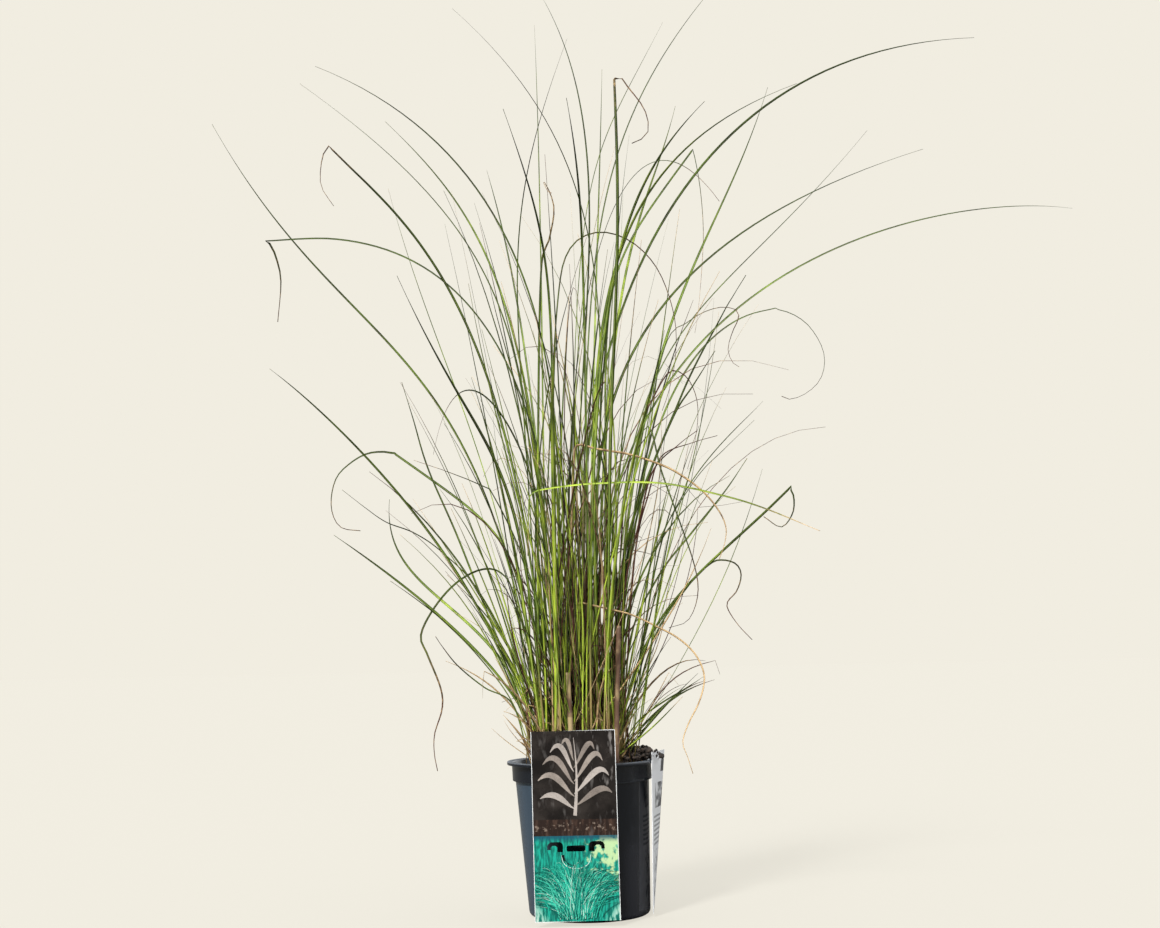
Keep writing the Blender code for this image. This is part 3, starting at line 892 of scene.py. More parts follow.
ROUTES = (
    Route("broad_arch", ((-50, 172), (-47, 350), (-38, 540), (-25, 720), (-10, 785), (24, 808), (65, 798),
                         (99, 762), (118, 705), (119, 655), (110, 612), (101, 587)),
          (20, 70), 1.9, 0.3, 0.25, 0.9),
    Route("drooping_tip", ((22, 172), (42, 390), (63, 515), (78, 547), (90, 495), (107, 440), (123, 385),
                           (125, 352), (113, 324), (91, 316)), (-20, -110), 2.8, 0.3, 0.0, 0.8),
    Route("left_droop", ((-62, 168), (-70, 295), (-81, 362), (-97, 386), (-120, 388), (-148, 372),
                         (-172, 344), (-186, 314), (-178, 292), (-163, 255), (-161, 232), (-169, 205),
                         (-169, 184), (-165, 165)), (-10, -65), 2.5, 0.35, 0.2, 0.9),
    Route("small_curl", ((30, 172), (60, 450), (99, 640), (130, 676), (160, 690), (182, 688), (187, 677),
                         (178, 657), (172, 636), (176, 620), (183, 613)), (-10, -60), 2.4, 0.3, 0.1, 0.8),
    Route("hooked_tip", ((-55, 170), (-50, 500), (-43, 727), (-33, 765), (-26, 800), (-33, 823),
                         (-38, 826), (-33, 811), (-28, 804)), (-30, -120), 3.0, 0.5, 0.0, 0.9),
    Route("broken_upper", ((-22, 300), (-14, 420), (-9, 505), (-7, 525), (0, 528), (16, 522), (53, 514),
                           (85, 502), (107, 490), (134, 468), (151, 445), (158, 425), (155, 406),
                           (148, 389)), (-20, -110), 2.8, 0.6, 0.8, 0.9),
    Route("level_leaf", ((-62, 400), (-60, 452), (-57, 467), (-40, 472), (15, 476), (87, 474), (154, 458),
                         (199, 442), (256, 416)), (-66, -130), 3.2, 0.70, 0.1, 0.6),
    Route("broken_lower", ((-25, 200), (-14, 294), (-9, 338), (-6, 347), (4, 345), (27, 339), (52, 332),
                           (76, 320), (101, 306), (119, 289), (128, 270), (128, 254), (121, 234),
                           (109, 213), (102, 194), (106, 180), (111, 162)), (-25, -130), 2.6, 0.7, 0.8, 0.9),
    Route("right_wave", ((40, 178), (79, 304), (120, 365), (146, 390), (160, 394), (175, 389), (180, 376),
                         (174, 358), (163, 346), (163, 336), (174, 318), (188, 302)), (-10, -50), 2.2, 0.3,
          0.2, 0.8),
    Route("left_kink", ((-66, 174), (-83, 235), (-114, 255), (-142, 279), (-158, 300), (-165, 312)),
          (-20, -80), 2.2, 0.3, 0.2, 0.6),
    Route("brown_tuft_high", ((30, 178), (45, 350), (66, 441), (83, 499), (113, 528), (134, 543)),
          (-15, -40), 2.6, 0.2, 0.7, 1.0),
    Route("brown_tuft_low", ((40, 178), (59, 395), (78, 475), (93, 515), (128, 529), (157, 536)),
          (-15, -45), 2.4, 0.2, 0.7, 1.0),
    Route("brown_arch", ((28, 178), (50, 470), (71, 557), (91, 599), (107, 624), (120, 625), (132, 614),
                         (140, 593), (141, 569), (136, 538), (127, 508)), (10, 30), 2.2, 0.2, 0.8, 1.0),
    Route("right_fan_1", ((42, 178), (54, 306), (90, 381), (131, 432), (173, 482), (203, 524)), (20, 60),
          3.0, 0.5),
    Route("right_fan_2", ((40, 176), (51, 326), (86, 415), (130, 485), (163, 518), (197, 549)), (-20, -70),
          2.6, 0.4),
    Route("right_fan_3", ((30, 178), (60, 430), (121, 594), (173, 693), (190, 722), (207, 749)), (15, 40),
          2.8, 0.35),
    Route("right_fan_4", ((30, 178), (45, 380), (66, 464), (107, 560), (132, 598), (158, 637)), (-10, -40),
          3.0, 0.5),
    Route("wide_bright", ((-36, 172), (-33, 241), (-32, 349), (-32, 481), (-31, 571), (-26, 651)),
          (-50, -95), 5.0, 0.75),
    Route("left_fan_1", ((-60, 172), (-84, 285), (-126, 369), (-169, 415), (-203, 439), (-237, 453),
                         (-264, 472), (-293, 495)), (20, 60), 2.6, 0.45),
    Route("left_fan_2", ((-60, 174), (-85, 240), (-123, 292), (-162, 332), (-190, 355), (-219, 376)),
          (-20, -50), 2.8, 0.6),
    Route("left_fan_3", ((-50, 172), (-70, 240), (-103, 309), (-150, 431), (-187, 518), (-206, 581),
                         (-221, 629)), (30, 70), 2.8, 0.4),
)


@dataclass
class TracedLeaves:
    """The leaves with a course of their own: curls, kinks, broken straws and level leaves."""

    rings: int = 72

    def build(self, material: bpy.types.Material) -> None:
        """Makes one piece for each traced leaf: a smooth curve through its places, swept as a blade.

        Args:
            material: The leaf finish.
        """
        random = np.random.default_rng(SEED + 1)
        share = np.linspace(0.0, 1.0, self.rings)
        for route in ROUTES:
            places = np.array(route.places) * MM
            depth = np.linspace(route.depth[0], route.depth[1], len(places)) * MM
            knots = np.stack([places[:, 0], depth, places[:, 1]], -1)
            spine = smooth_route(knots, self.rings)
            Blades(
                spines=spine[None],
                sides=np.array([[0.25, 1.0, 0.0]]),
                widths=blade_width(self.rings, np.array([route.breadth * MM]), point=7.0, least=0.9),
                folds=np.array([0.4]),
                turns=(random.uniform(-0.6, 0.6) * share + random.choice([-0.8, 0.8]))[None],
                tones=np.array([route.tone]),
                dryness=(route.dry + (route.dry_tip - route.dry) * share**5)[None],
                section=Section.FINE,
            ).build(f"leaf_{route.name}", material, "leaf")


@dataclass
class Thicket:
    """Hundreds of thinner leaves and straws between the long ones, seeded so that they never change.

    Each one is a cubic curve in an upright plane. It leaves the crown at less than its mean lean and
    ends at more. Angles are in degrees, heights in metres and breadths in mm.
    """

    name: str
    count: int
    seed: int
    heights: tuple[float, float]
    lean: tuple[float, float]
    arch: tuple[float, float]
    breadth: tuple[float, float]
    tones: tuple[float, float]
    dry: tuple[float, float] = (0.0, 0.0)
    dry_tip: tuple[float, float] = (0.1, 0.9)
    crossing: float = 0.9
    crown: tuple[float, float] = (0.006, 0.052)
    broken: float = 0.0
    rings: int = 15
    sway: float = 0.0015
    towards: tuple[float, float] = (0.0, 360.0)

    def build(self, material: bpy.types.Material) -> None:
        """Makes the whole thicket as one mesh.

        Args:
            material: The leaf finish.
        """
        random = np.random.default_rng(self.seed)
        count = self.count
        heading = np.radians(random.uniform(*self.towards, count))
        away = np.sqrt(random.uniform(self.crown[0] ** 2, self.crown[1] ** 2, count))
        at = heading + random.normal(0.0, self.crossing, count)
        root = np.stack([away * np.cos(at) - 0.006, away * np.sin(at), np.full(count, 0.166)], -1)
        out = np.stack([np.cos(heading), np.sin(heading), np.zeros(count)], -1)
        height = random.uniform(*self.heights, count)
        lean = np.radians(random.uniform(*self.lean, count))
        tip = root + out * ((height - 0.166) * np.tan(lean))[:, None]
        tip[:, 2] = height
        length = np.linalg.norm(tip - root, axis=1)
        arch = np.radians(random.uniform(*self.arch, count))
        start, finish = lean - arch * 0.45, lean + arch
        upright = np.array([0.0, 0.0, 1.0])
        go = out * np.sin(start)[:, None] + upright * np.cos(start)[:, None]
        come = out * np.sin(finish)[:, None] + upright * np.cos(finish)[:, None]
        hold = random.uniform(0.28, 0.48, (2, count)) * length
        control = [root, root + go * hold[0][:, None], tip - come * hold[1][:, None], tip]
        spines = bezier(np.stack(control, 1), self.rings)
        share = np.linspace(0.0, 1.0, self.rings)[None]
        side = np.stack([-np.sin(heading), np.cos(heading), np.zeros(count)], -1)
        waves = random.uniform(3.0, 8.0, (count, 1)) * share + random.uniform(0.0, 6.3, (count, 1))
        spines = spines + side[:, None] * (self.sway * np.sin(waves) * share)[..., None]
        spines = self.snapped(spines, side, random)
        dry_foot = random.uniform(*self.dry, count)[:, None]
        dry_tip = random.uniform(*self.dry_tip, count)[:, None]
        Blades(
            spines=spines,
            sides=side,
            widths=blade_width(self.rings, random.uniform(*self.breadth, count) * MM),
            folds=random.uniform(0.15, 0.55, count),
            turns=random.uniform(-0.9, 0.9, (count, 1)) * share + random.uniform(-1.57, 1.57, (count, 1)),
            tones=self.tones[0] + (self.tones[1] - self.tones[0]) * random.beta(0.5, 0.5, count),
            dryness=dry_foot + np.maximum(dry_tip - dry_foot, 0.0) * share**5,
        ).build(self.name, material, "leaf")

    def snapped(self, spines: Array, side: Array, random: np.random.Generator) -> Array:
        """Bends some blades over at one ring, turning all that is past it about the blade's side vector.

        Args:
            spines: (blades, rings, 3) points.
            side: (blades, 3) vectors across the blades.
            random: Where the draws come from.

        Returns:
            The spines, some of them bent.
        """
        picked = random.uniform(size=len(spines)) < self.broken
        at = random.integers(self.rings * 3 // 4, self.rings - 1, len(spines))
        angle = np.where(picked, np.radians(random.uniform(25, 130, len(spines))), 0.0)
        pivot = spines[np.arange(len(spines)), at][:, None]
        arm = spines - pivot
        axis = side[:, None]
        cosine, sine = np.cos(angle)[:, None, None], np.sin(angle)[:, None, None]
        kept = axis * (axis * arm).sum(-1, keepdims=True) * (1 - cosine)
        turned = arm * cosine + np.cross(axis, arm) * sine + kept
        past = np.arange(self.rings)[None, :, None] > at[:, None, None]
        return np.where(past, pivot + turned, spines)


THICKETS = (
    Thicket("leaves_tall", 38, 11, (0.60, 0.93), (1, 16), (0, 28), (1.8, 3.0), (0.1, 0.95), crossing=1.3),
    Thicket("leaves_middle", 60, 22, (0.42, 0.78), (2, 22), (-10, 28), (1.7, 2.9), (0.0, 1.0), crossing=2.6),
    Thicket("leaves_low", 58, 13, (0.26, 0.56), (5, 35), (-10, 38), (1.5, 2.9), (0.0, 1.0), crossing=2.6,
            broken=0.12),
    Thicket("leaves_left", 30, 20, (0.26, 0.48), (12, 34), (0, 20), (1.6, 3.0), (0.1, 1.0), crossing=0.6,
            towards=(140.0, 220.0)),
    Thicket("leaves_right", 8, 23, (0.19, 0.27), (34, 60), (-10, 30), (1.8, 3.0), (0.2, 0.9), crossing=0.4,
            crown=(0.030, 0.052), towards=(-40.0, 25.0)),
    Thicket("leaves_broad", 5, 15, (0.36, 0.62), (1, 14), (0, 10), (3.6, 4.8), (0.6, 1.0)),
    Thicket("leaves_front", 18, 18, (0.30, 0.62), (2, 24), (0, 20), (1.8, 3.2), (0.3, 1.0), crossing=0.9,
            crown=(0.050, 0.066), towards=(180.0, 360.0)),
    Thicket("straws", 84, 14, (0.20, 0.56), (2, 36), (-30, 70), (1.0, 2.4), (0.0, 1.0), (0.6, 1.0),
            (0.8, 1.0), 2.2, (0.005, 0.060), 0.3, sway=0.003),
    Thicket("straw_scraps", 80, 17, (0.19, 0.29), (2, 50), (-20, 60), (1.4, 3.6), (0.2, 1.0), (0.6, 1.0),
            (0.8, 1.0), 1.8, (0.010, 0.054), 0.3),
    Thicket("straws_left", 26, 24, (0.178, 0.230), (10, 60), (-20, 70), (1.4, 3.0), (0.4, 1.0), (0.8, 1.0),
            (0.8, 1.0), 0.8, (0.040, 0.060), towards=(165.0, 250.0)),
    # painted shade: near-black short blades in the crown's middle stand in for the shade deep in the clump
    Thicket("painted_shade_core", 64, 19, (0.21, 0.33), (0, 14), (0, 10), (3.0, 7.0), (0.0, 0.05), (0.0, 0.15),
            (0.0, 0.2), 3.0, (0.0, 0.038)),
    Thicket("curls", 60, 16, (0.25, 0.68), (8, 32), (60, 150), (1.2, 2.3), (0.0, 0.5), (0.5, 1.0),
            (0.8, 1.0), sway=0.005),
)


CANE_TONES = {"old_cane_01": 0.75, "old_cane_02": 0.45, "old_cane_03": 0.15, "old_cane_04": 0.40}


@dataclass
class Stalks:
    """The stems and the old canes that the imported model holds, with sheaths and joints."""

    rings: int = 60
    around: int = 12
    joint_spacing: float = 0.085

    def build(self, material: bpy.types.Material) -> None:
        """Makes one piece for each packed stem and cane."""
        random = np.random.default_rng(SEED + 2)
        for name in sorted(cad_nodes()):
            if name.startswith("stem_"):
                piece = self.stalk(name, "stem", random.uniform(0.3, 1.0), random.uniform(0.1, 0.9), material)
            elif name.startswith("old_cane_"):
                piece = self.stalk(name, "dry_cane", CANE_TONES[name], 0.9, material)
            else:
                continue
            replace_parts(piece, name)

    def stalk(self, name: str, slot: str, tone: float, dry: float, material: bpy.types.Material) -> Any:
        """A stalk whose radius swells at each joint and steps in where a sheath ends.

        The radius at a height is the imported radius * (1 + swell + sheath), where swell is a narrow bump
        at each joint and sheath grows evenly from one joint to the next and then drops back.
        """
        centres, spread = ring_centres(name)
        spine = bezier(fitted_bezier(centres)[None], self.rings)[0]
        share = np.linspace(0.0, 1.0, self.rings)
        radius = np.interp(share, np.linspace(0.0, 1.0, len(spread)), spread)
        length = np.linalg.norm(np.diff(spine, axis=0), axis=1).sum()
        stage = share * length / self.joint_spacing + 0.3
        part = stage - np.floor(stage)
        swell = 0.22 * np.exp(-((part - 0.04) / 0.035) ** 2)
        radius = radius * (0.74 + swell + 0.16 * part)
        spine[0, 2] -= 4 * MM
        along = unit(np.gradient(spine, axis=0))
        side = unit(np.cross(along, np.array([0.0, 1.0, 0.0])))
        other = np.cross(along, side)
        angle = np.linspace(0.0, 2 * math.pi, self.around, endpoint=False)
        ripple = 1.0 + 0.05 * np.sin(angle * 3 + 1.0)
        circle = side[:, None] * np.cos(angle)[None, :, None] + other[:, None] * np.sin(angle)[None, :, None]
        points = spine[:, None] + circle * (radius[:, None] * ripple[None])[..., None]
        piece = make_piece(f"{name}_stalk", points, tube_faces(1, self.rings, self.around), material)
        values = np.empty((self.rings, self.around, 4))
        values[..., 0] = share[:, None]
        values[..., 1] = (angle / (2 * math.pi))[None]
        values[..., 2] = np.clip(tone + 0.25 * part, 0.0, 1.0)[:, None]
        values[..., 3] = np.clip(dry + 0.5 * (part < 0.08), 0.0, 1.0)[:, None]
        paint(piece, "blade", values)
        return piece


# ---------------------------------------------------------------------------------------------------
# The pot, its filling and its labels


@dataclass
class Pot:
    """The turned plastic pot: lip, band, tapering body and rounded foot."""

    segments: int = 192
    wall: float = 0.0014
    lip_drop: float = 0.0036
    band_drop: float = 0.0200
    band_inset: float = 0.0054
    body_inset: float = 0.0088
    foot_rounding: float = 0.0050
    low: Array = field(init=False)
    high: Array = field(init=False)

    def __post_init__(self) -> None:
        """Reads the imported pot's box."""
        low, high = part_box("pot")
        self.low, self.high = np.array(low), np.array(high)

    @property
    def lip_radius(self) -> float:
        """Half the box's width."""
        return float(self.high[1] - self.low[1]) / 2

    @property
    def lip_offset(self) -> float:
        """How far the lip's middle lies to one side of the foot's middle, which is at nought."""
        return float(self.high[0] + self.low[0]) / 2

    @property
    def height(self) -> float:
        """The lip's height."""
        return float(self.high[2])

    def rounded(self, corner: Sequence[float], radius: float, start: float) -> list:
        """A quarter circle around a corner's centre, in five points, from a start angle in degrees."""
        angles = np.radians(start - np.linspace(0.0, 90.0, 5))
        return [(corner[0] + radius * math.cos(a), corner[1] + radius * math.sin(a)) for a in angles]

    def profile(self) -> Array:
        """(radius, height) from the middle of the floor up the inside, over the lip and down outside."""
        lip, top, wall = self.lip_radius, self.height, self.wall
        band, body = lip - self.band_inset, lip - self.body_inset
        foot = float(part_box("compost")[1][1]) - 0.0055
        ledge = top - self.band_drop - 0.0015
        points = [(0.0, 0.002), (foot - 0.006, 0.002), (foot - wall, 0.007)]
        points += [(body - wall, ledge - 0.0005), (band - wall, ledge + 0.0015), (band - wall, top - 0.002)]
        points += [(band - wall + 0.0006, top - 0.0006), (band - wall + 0.0016, top)]
        points += self.rounded((lip - 0.0009, top - 0.0009), 0.0009, 90.0)
        points += self.rounded((lip - 0.0006, top - self.lip_drop + 0.0006), 0.0006, 0.0)
        points += [(lip - wall, top - self.lip_drop), (lip - wall, top - wall - 0.0002)]
        points += [(band + 0.0004, top - wall)]
        points += [(band, top - wall - 0.0006), (band - 0.0001, ledge + 0.0008)]
        points += self.rounded((band - 0.0007, ledge + 0.0006), 0.0006, 0.0)
        points += [(body + 0.0006, ledge - 0.0001), (body + 0.0001, ledge - 0.0006), (body, ledge - 0.0016)]
        side = [(body + (foot - body) * t, ledge - 0.0016 + (0.006 - ledge) * t) for t in (0.25, 0.5, 0.75)]
        points += side
        points += self.rounded((foot - self.foot_rounding, self.foot_rounding), self.foot_rounding, 0.0)
        points += [(foot - 0.012, 0.0), (foot - 0.013, 0.0006), (0.0, 0.0006)]
        return np.array(points)

    def build(self, material: bpy.types.Material) -> None:
        """Turns the profile: the point at angle a is (r cos a + slide, r sin a, h).

        The slide grows evenly with the height h, up to the lip's offset.

        Args:
            material: The pot finish.
        """
        profile = self.profile()
        radius, height = np.maximum(profile[:, 0], 1e-5), profile[:, 1]
        angle = np.linspace(0.0, 2 * math.pi, self.segments, endpoint=False)
        slide = self.lip_offset * height / self.height
        points = np.stack([
            radius[:, None] * np.cos(angle) + slide[:, None],
            radius[:, None] * np.sin(angle),
            np.broadcast_to(height[:, None], (len(height), self.segments)),
        ], -1)
        rings = len(profile)
        piece = make_piece("pot_shell", points, tube_faces(1, rings, self.segments), material)
        for polygon in piece.data.polygons[-2:]:
            polygon.use_smooth = False
        piece.data.set_sharp_from_angle(angle=math.radians(50))
        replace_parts(piece, "pot")


@dataclass
class Compost:
    """The compost's surface with lumps, loose crumbs and bits of straw."""

    rings: int = 56
    segments: int = 160
    crumbs: int = 1300
    heaped: int = 240
    straws: int = 80

    def height(self, x: Array, y: Array) -> Array:
        """The smooth surface: a low dome with a mound at the back right."""
        high = float(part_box("compost")[1][2])
        away = np.hypot(x + 0.007, y) / 0.0745
        mound = np.hypot((x - 0.056) / 1.1, y - 0.012) / 0.030
        return high - 0.0105 - 0.009 * away**2 + 0.0200 * np.exp(-(mound**2))

    def lumps(self, x: Array, y: Array, random: np.random.Generator) -> Array:
        """A sum of waves of random headings, finer and lower in turn."""
        total = np.zeros_like(x)
        for size in (0.012, 0.007, 0.004, 0.0025):
            for _ in range(7):
                heading = random.uniform(0.0, 2 * math.pi)
                phase = random.uniform(0.0, 2 * math.pi)
                wave = (x * math.cos(heading) + y * math.sin(heading)) * 2 * math.pi / size
                total += np.sin(wave + phase) * size * 0.035
        return total

    def build(self, material: bpy.types.Material, straw: bpy.types.Material) -> None:
        """Makes the filling, the crumbs and the straws."""
        random = np.random.default_rng(SEED + 3)
        radius = 0.0765 * np.linspace(0.0, 1.0, self.rings) ** 0.8
        angle = np.linspace(0.0, 2 * math.pi, self.segments, endpoint=False)
        radius = np.r_[radius, 0.0760, 0.0730, 0.0640]
        x = radius[:, None] * np.cos(angle) - 0.0068
        y = radius[:, None] * np.sin(angle)
        z = self.height(x, y) + self.lumps(x, y, random)
        z[-3:] = np.array([0.156, 0.146, 0.012])[:, None]
        x[-1] += 0.0064
        points = np.stack([x, y, z], -1)[::-1]
        faces = tube_faces(1, len(radius), self.segments)
        piece = make_piece("compost_bed", points, faces, material)
        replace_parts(piece, "compost")
        self.scatter_crumbs(material, random)
        self.scatter_straws(straw, random)

    def scatter_crumbs(self, material: bpy.types.Material, random: np.random.Generator) -> None:
        """Crumbs: rough little balls of five rings of six points, squashed and turned at random."""
        count = self.crumbs
        away = 0.076 * np.sqrt(random.uniform(0.0, 1.0, count))
        at = random.uniform(0.0, 2 * math.pi, count)
        x, y = away * np.cos(at) - 0.007, away * np.sin(at)
        size = random.uniform(0.0008, 0.0040, count) * random.uniform(0.4, 1.0, count)
        heap = np.arange(count) < self.heaped
        x = np.where(heap, np.clip(random.normal(0.062, 0.012, count), 0.030, 0.084), x)
        y = np.where(heap, random.normal(-0.006, 0.018, count), y)
        rise = 0.1715 + 0.011 * random.uniform(0.0, 1.0, count) * np.exp(-(((x - 0.066) / 0.018) ** 2))
        ring = np.linspace(0.08, math.pi - 0.08, 5)[None, :, None]
        turn = np.linspace(0.0, 2 * math.pi, 6, endpoint=False)[None, None, :]
        rough = random.uniform(0.75, 1.25, (count, 5, 6))
        ball = np.stack([
            np.sin(ring) * np.cos(turn) * rough,
            np.sin(ring) * np.sin(turn) * rough,
            -np.cos(ring) * np.ones_like(turn) * 0.8 * rough,
        ], -1) * size[:, None, None, None]
        z = np.where(heap, np.maximum(rise, self.height(x, y)), self.height(x, y))
        centre = np.stack([x, y, z + size * 0.35], -1)
        points = ball + centre[:, None, None, :]
        make_piece("compost_crumbs", points, tube_faces(count, 5, 6), material)

    def scatter_straws(self, material: bpy.types.Material, random: np.random.Generator) -> None:
        """Short dry straws that lie across the compost."""
        count, rings = self.straws, 7
        away = 0.070 * np.sqrt(random.uniform(0.05, 1.0, count))
        at = random.uniform(0.0, 2 * math.pi, count)
        heading = random.uniform(0.0, 2 * math.pi, count)
        length = random.uniform(0.010, 0.036, count)
        share = np.linspace(-0.5, 0.5, rings)
        x = (away * np.cos(at) - 0.007)[:, None] + np.cos(heading)[:, None] * length[:, None] * share
        y = (away * np.sin(at))[:, None] + np.sin(heading)[:, None] * length[:, None] * share
        inside = np.minimum(1.0, 0.074 / np.maximum(np.hypot(x + 0.007, y), 1e-6))
        x, y = (x + 0.007) * inside - 0.007, y * inside
        tilt = random.uniform(-0.25, 0.35, count)[:, None] * length[:, None] * share
        z = self.height(x, y) + 0.0016 + np.abs(tilt)
        Blades(
            spines=np.stack([x, y, z], -1),
            sides=np.stack([-np.sin(heading), np.cos(heading), np.zeros(count)], -1),
            widths=np.repeat(random.uniform(0.6, 2.2, count)[:, None] * MM, rings, axis=1),
            folds=random.uniform(0.2, 0.8, count),
            turns=np.zeros((count, rings)),
            tones=random.uniform(0.3, 1.0, count),
            dryness=np.ones((count, rings)),
        ).build("compost_straws", material, "dry_cane")


@dataclass
class FrontLabel:
    """The front label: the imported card, dressed with printed strokes of a generic grass and a sprig."""

    proud: float = 0.00010
    layer: float = 0.000002
    lean: float = -0.0021
    face: float = field(init=False)
    foot: float = field(init=False)
    middle: float = field(init=False)
    width: float = field(init=False)
    tall: float = field(init=False)

    def __post_init__(self) -> None:
        """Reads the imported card's box."""
        low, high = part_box("front_label")
        self.face = float(low[1]) - self.proud
        self.foot = float(low[2])
        self.middle = float(low[0] + high[0]) / 2
        self.width = float(high[0] - low[0])
        self.tall = float(high[2] - low[2])

    def build(self, card: bpy.types.Material, ink: bpy.types.Material) -> None:
        """Dresses the card and adds the prints.

        Args:
            card: The card's finish.
            ink: The printed strokes' finish.
        """
        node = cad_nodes()["front_label"]
        node.data.materials.clear()
        node.data.materials.append(card)
        self.grass_picture(ink)
        self.flap(ink)
        self.sprig(ink)

    def on_card(self, across: Array, up: Array) -> Array:
        """Places on the card's face, from shares of its width (-0.5 to 0.5) and height (0 to 1)."""
        x = self.middle + across * self.width + (up - 0.5) * self.lean
        return np.stack([x, np.full_like(x, self.face), self.foot + up * self.tall], -1)

    def strokes(self, name: str, across: Array, up: Array, widths: Array, colours: Array,
                ink: bpy.types.Material) -> None:
        """Flat strokes that taper, each a hair's breadth in front of the one before.

        Args:
            name: The piece's name.
            across: (strokes, rings) shares of the card's width from its middle.
            up: (strokes, rings) shares of its height.
            widths: (strokes, rings) widths in metres.
            colours: (strokes, 3) colours.
            ink: The finish.
        """
        count, rings = across.shape
        spines = self.on_card(across, up)
        along = unit(np.gradient(spines, axis=1))
        side = np.stack([-along[..., 2], np.zeros((count, rings)), along[..., 0]], -1)
        place = np.array([1.0, 1.0, -1.0, -1.0]) / 2
        points = spines[:, :, None] + side[:, :, None] * (place * widths[..., None])[..., None]
        points[..., 1] += np.array([0.0, -self.proud, -self.proud, 0.0])
        points[..., 1] -= (np.arange(count) * self.layer)[:, None, None]
        piece = make_piece(name, points, tube_faces(count, rings, 4), ink)
        piece.data.shade_flat()
        values = np.ones((count, rings, 4, 4))
        values[..., :3] = colours[:, None, None, :]
        paint(piece, "ink", values)

    def grass_picture(self, ink: bpy.types.Material) -> None:
        """A tuft that springs from the middle of the card's foot and fans out under the hanging slot."""
        random = np.random.default_rng(SEED + 4)
        count, rings = 520, 9
        share = np.linspace(0.0, 1.0, rings)[None]
        fan = random.uniform(-1.0, 1.0, (count, 1))
        foot = fan * 0.14 + random.normal(0.0, 0.06, (count, 1))
        across = np.clip(foot + fan * (0.46 * share**1.5), -0.480, 0.480)
        tall = random.uniform(0.12, 0.34, (count, 1)) * (1.0 - 0.30 * np.abs(fan))
        start = 0.012 + random.uniform(0.0, 0.07, (count, 1))
        up = np.clip(start + tall * (share * 1.35 - 0.55 * share**3), 0.01, 0.385)
        widths = 0.0007 * random.uniform(0.4, 1.2, (count, 1)) * (1.0 - share) ** 0.5 + 0.00010
        palette = np.array([[0.34, 0.62, 0.50], [0.02, 0.40, 0.27], [0.004, 0.13, 0.10], [0.06, 0.50, 0.34]])
        picked = palette[random.choice(4, count, p=[0.12, 0.28, 0.40, 0.20])]
        self.strokes("label_grass_print", across, up, widths, picked, ink)

    def flap(self, ink: bpy.types.Material) -> None:
        """The thin cut of a tongue under the slot, and the gap that opens at its left."""
        rings = 21
        turn = np.linspace(-math.pi / 2, math.pi / 2, rings)
        across = np.stack([0.165 * np.sin(turn), 0.150 * np.sin(turn * 0.5 - 0.75)])
        up = np.stack([0.345 - 0.070 * np.cos(turn) ** 0.7, 0.352 - 0.062 * np.cos(turn * 0.5 - 0.75) ** 0.7])
        share = np.linspace(0.0, 1.0, rings)
        widths = np.stack([np.full(rings, 0.0006), 0.0030 * (1.0 - share) ** 1.5 + 0.0001])
        shades = np.array([[0.62, 0.80, 0.70], [0.004, 0.008, 0.008]])
        self.strokes("label_flap", across, up, widths, shades, ink)

    def sprig(self, ink: bpy.types.Material) -> None:
        """A generic bronze sprig of arching leaves on the card's dark upper half."""
        rings = 17
        share = np.linspace(0.0, 1.0, rings)[None]
        sides = np.array([-1, 1, -1, 1, -1, 1, -1, 1, -1], float)[:, None]
        start = np.array([0.585, 0.600, 0.650, 0.665, 0.715, 0.730, 0.780, 0.800, 0.840])[:, None]
        reach = np.array([0.40, 0.43, 0.42, 0.40, 0.36, 0.33, 0.27, 0.24, 0.14])[:, None]
        rise = np.array([0.075, 0.090, 0.115, 0.125, 0.140, 0.145, 0.140, 0.130, 0.110])[:, None]
        across = 0.02 * np.sin(share * 3.0) + sides * reach * share**0.8
        up = start + rise * np.sin(share * 2.3)
        widths = 0.0078 * np.sin(np.pi * np.clip(share, 0.02, 0.98)) ** 0.8 * (0.45 + reach)
        across = np.concatenate([across, 0.03 * np.sin(share * 3.0)])
        up = np.concatenate([up, 0.550 + 0.410 * share])
        widths = np.concatenate([widths, 0.0034 * (1.15 - share)])
        shades = np.array([[0.40, 0.35, 0.31], [0.24, 0.20, 0.17], [0.32, 0.27, 0.23]])
        self.strokes("label_sprig_print", across, up, widths, shades[np.arange(10) % 3], ink)


@dataclass
class SideLabel:
    """The white strip label on the right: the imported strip, dressed in its own finish."""

    def build(self, material: bpy.types.Material) -> None:
        """Dresses the strip."""
        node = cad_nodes()["side_label"]
        node.data.materials.clear()
        node.data.materials.append(material)


# ---------------------------------------------------------------------------------------------------
# The studio


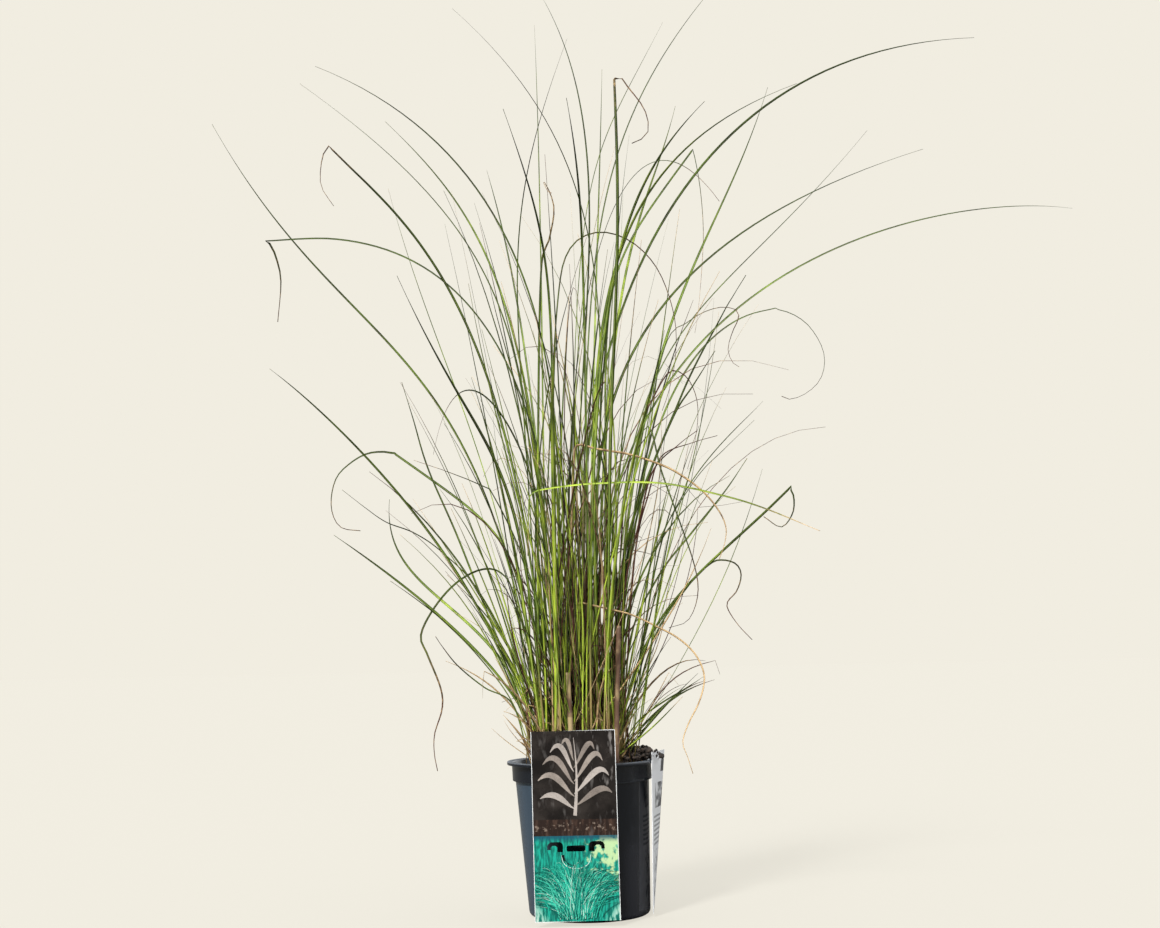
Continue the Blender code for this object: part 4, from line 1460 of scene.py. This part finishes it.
@dataclass
class Studio:
    """A plain pale floor, soft light from all round and a camera at the pot's height."""

    backdrop: Colour = (0.880, 0.847, 0.752)
    floor_share: float = 0.12
    floor_glow: Colour = (0.650, 0.622, 0.548)
    from_front: float = 0.12
    from_left: float = 1.2
    from_right: float = 1.0
    from_back: float = 0.6
    from_above: float = 0.9
    distance: float = 1.65
    eye_height: float = 0.28
    tilt: float = math.radians(8.02)
    roll: float = math.radians(1.1)
    lens: float = 43.79
    sensor: float = 36.0
    aside: float = -0.0018
    floor_half: float = 60.0
    sky: Colour = (0.96, 0.99, 1.03)
    key_strength: float = 4.5
    key_spread: float = math.radians(9)
    key_turn: tuple[float, float, float] = (math.radians(48), 0.0, math.radians(-32))

    def build(self) -> None:
        """Makes the floor, the world, the lights and the camera."""
        bpy.context.scene.view_settings.view_transform = "Standard"
        self.floor()
        self.world()
        self.light()
        self.camera()

    def floor(self) -> None:
        """A wide matt floor whose colour meets the backdrop's."""
        shader = Shader("floor_finish", roughness=1.0, specular=0.0)
        shader.colour(tuple(part * self.floor_share for part in self.backdrop))
        plain = shader.node("ShaderNodeBsdfDiffuse", {}, {})
        plain.inputs["Color"].default_value = (*(part * self.floor_share for part in self.backdrop), 1.0)
        shader.principled.inputs["Emission Color"].default_value = (*self.floor_glow, 1.0)
        shader.principled.inputs["Emission Strength"].default_value = 1.0
        path = shader.node("ShaderNodeLightPath", {}, {})
        mix = shader.node("ShaderNodeMixShader", {}, {0: path.outputs["Is Camera Ray"]})
        shader.tree.links.new(plain.outputs[0], mix.inputs[1])
        shader.tree.links.new(shader.principled.outputs[0], mix.inputs[2])
        shader.tree.links.new(mix.outputs[0], shader.tree.nodes["Material Output"].inputs["Surface"])
        half = self.floor_half
        corners = np.array([[-half, -half, 0], [half, -half, 0], [half, half, 0], [-half, half, 0]], float)
        mesh = bpy.data.meshes.new("floor")
        mesh.from_pydata(corners.tolist(), [], [[0, 1, 2, 3]])
        mesh.materials.append(shader.material)
        floor = bpy.data.objects.new("floor", mesh)
        bpy.context.scene.collection.objects.link(floor)

    def world(self) -> None:
        """Soft light behind a plain pale backdrop: bright from the left and above, dim from the front.

        The strength in a direction (x, y, z) is base + left * max(-x, 0) + above * max(z, 0) +
        back * max(y, 0) + right * max(x, 0).
        """
        world = bpy.data.worlds.new("studio")
        bpy.context.scene.world = world
        world.use_nodes = True
        tree = world.node_tree
        tree.nodes.clear()
        output = tree.nodes.new("ShaderNodeOutputWorld")
        path = tree.nodes.new("ShaderNodeLightPath")
        mix = tree.nodes.new("ShaderNodeMixShader")
        seen = tree.nodes.new("ShaderNodeBackground")
        seen.inputs["Color"].default_value = (*self.backdrop, 1.0)
        around = tree.nodes.new("ShaderNodeBackground")
        around.inputs["Color"].default_value = (*self.sky, 1.0)
        split = tree.nodes.new("ShaderNodeSeparateXYZ")
        tree.links.new(tree.nodes.new("ShaderNodeTexCoord").outputs["Generated"], split.inputs[0])
        total = None
        sides = ((0, -self.from_left), (0, self.from_right), (1, self.from_back), (2, self.from_above))
        for axis, factor in sides:
            part = tree.nodes.new("ShaderNodeMath")
            part.operation = "MULTIPLY"
            part.use_clamp = True
            part.inputs[1].default_value = factor
            tree.links.new(split.outputs[axis], part.inputs[0])
            add = tree.nodes.new("ShaderNodeMath")
            add.inputs[1].default_value = self.from_front
            tree.links.new(part.outputs[0], add.inputs[0])
            if total is not None:
                tree.links.new(total, add.inputs[1])
            total = add.outputs[0]
        tree.links.new(total, around.inputs["Strength"])
        tree.links.new(path.outputs["Is Camera Ray"], mix.inputs[0])
        tree.links.new(around.outputs[0], mix.inputs[1])
        tree.links.new(seen.outputs[0], mix.inputs[2])
        tree.links.new(mix.outputs[0], output.inputs[0])

    def light(self) -> None:
        """A broad soft key light from the upper left in front."""
        lamp = bpy.data.lights.new("key", "SUN")
        lamp.energy = self.key_strength
        lamp.angle = self.key_spread
        key = bpy.data.objects.new("key", lamp)
        key.rotation_euler = self.key_turn
        bpy.context.scene.collection.objects.link(key)

    def camera(self) -> None:
        """The camera stands in front, looks slightly up and leans a little to one side."""
        data = bpy.data.cameras.new("camera")
        data.lens = self.lens
        data.sensor_width = self.sensor
        data.clip_end = 200.0
        camera = bpy.data.objects.new("camera", data)
        aim = Matrix.Rotation(math.radians(90) + self.tilt, 4, "X") @ Matrix.Rotation(-self.roll, 4, "Z")
        camera.matrix_world = Matrix.Translation((self.aside, -self.distance, self.eye_height)) @ aim
        bpy.context.scene.collection.objects.link(camera)
        bpy.context.scene.camera = camera


def plain(box: Any) -> list:
    """A box as plain lists of numbers."""
    return [[float(number) for number in corner] for corner in box]


def main() -> None:
    """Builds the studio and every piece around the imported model."""
    logging.basicConfig(level=logging.INFO, format="%(message)s")
    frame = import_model()
    NODES.update(frame["nodes"])
    Studio().build()

    leaf = LeafFinish().material()
    stalk = StalkFinish().material()
    compost = CompostFinish().material()
    Pot().build(PotFinish().material())
    Compost().build(compost, leaf)
    card_low, card_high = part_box("front_label")
    label = FrontLabel()
    label.build(PrintedCardFinish().material(card_low, card_high, label.lean), PrintFinish().material())
    SideLabel().build(StripLabelFinish().material())
    Stalks().build(stalk)
    PackedLeaves().build(leaf)
    TracedLeaves().build(leaf)
    for thicket in THICKETS:
        thicket.build(leaf)


if __name__ == "__main__":
    main()
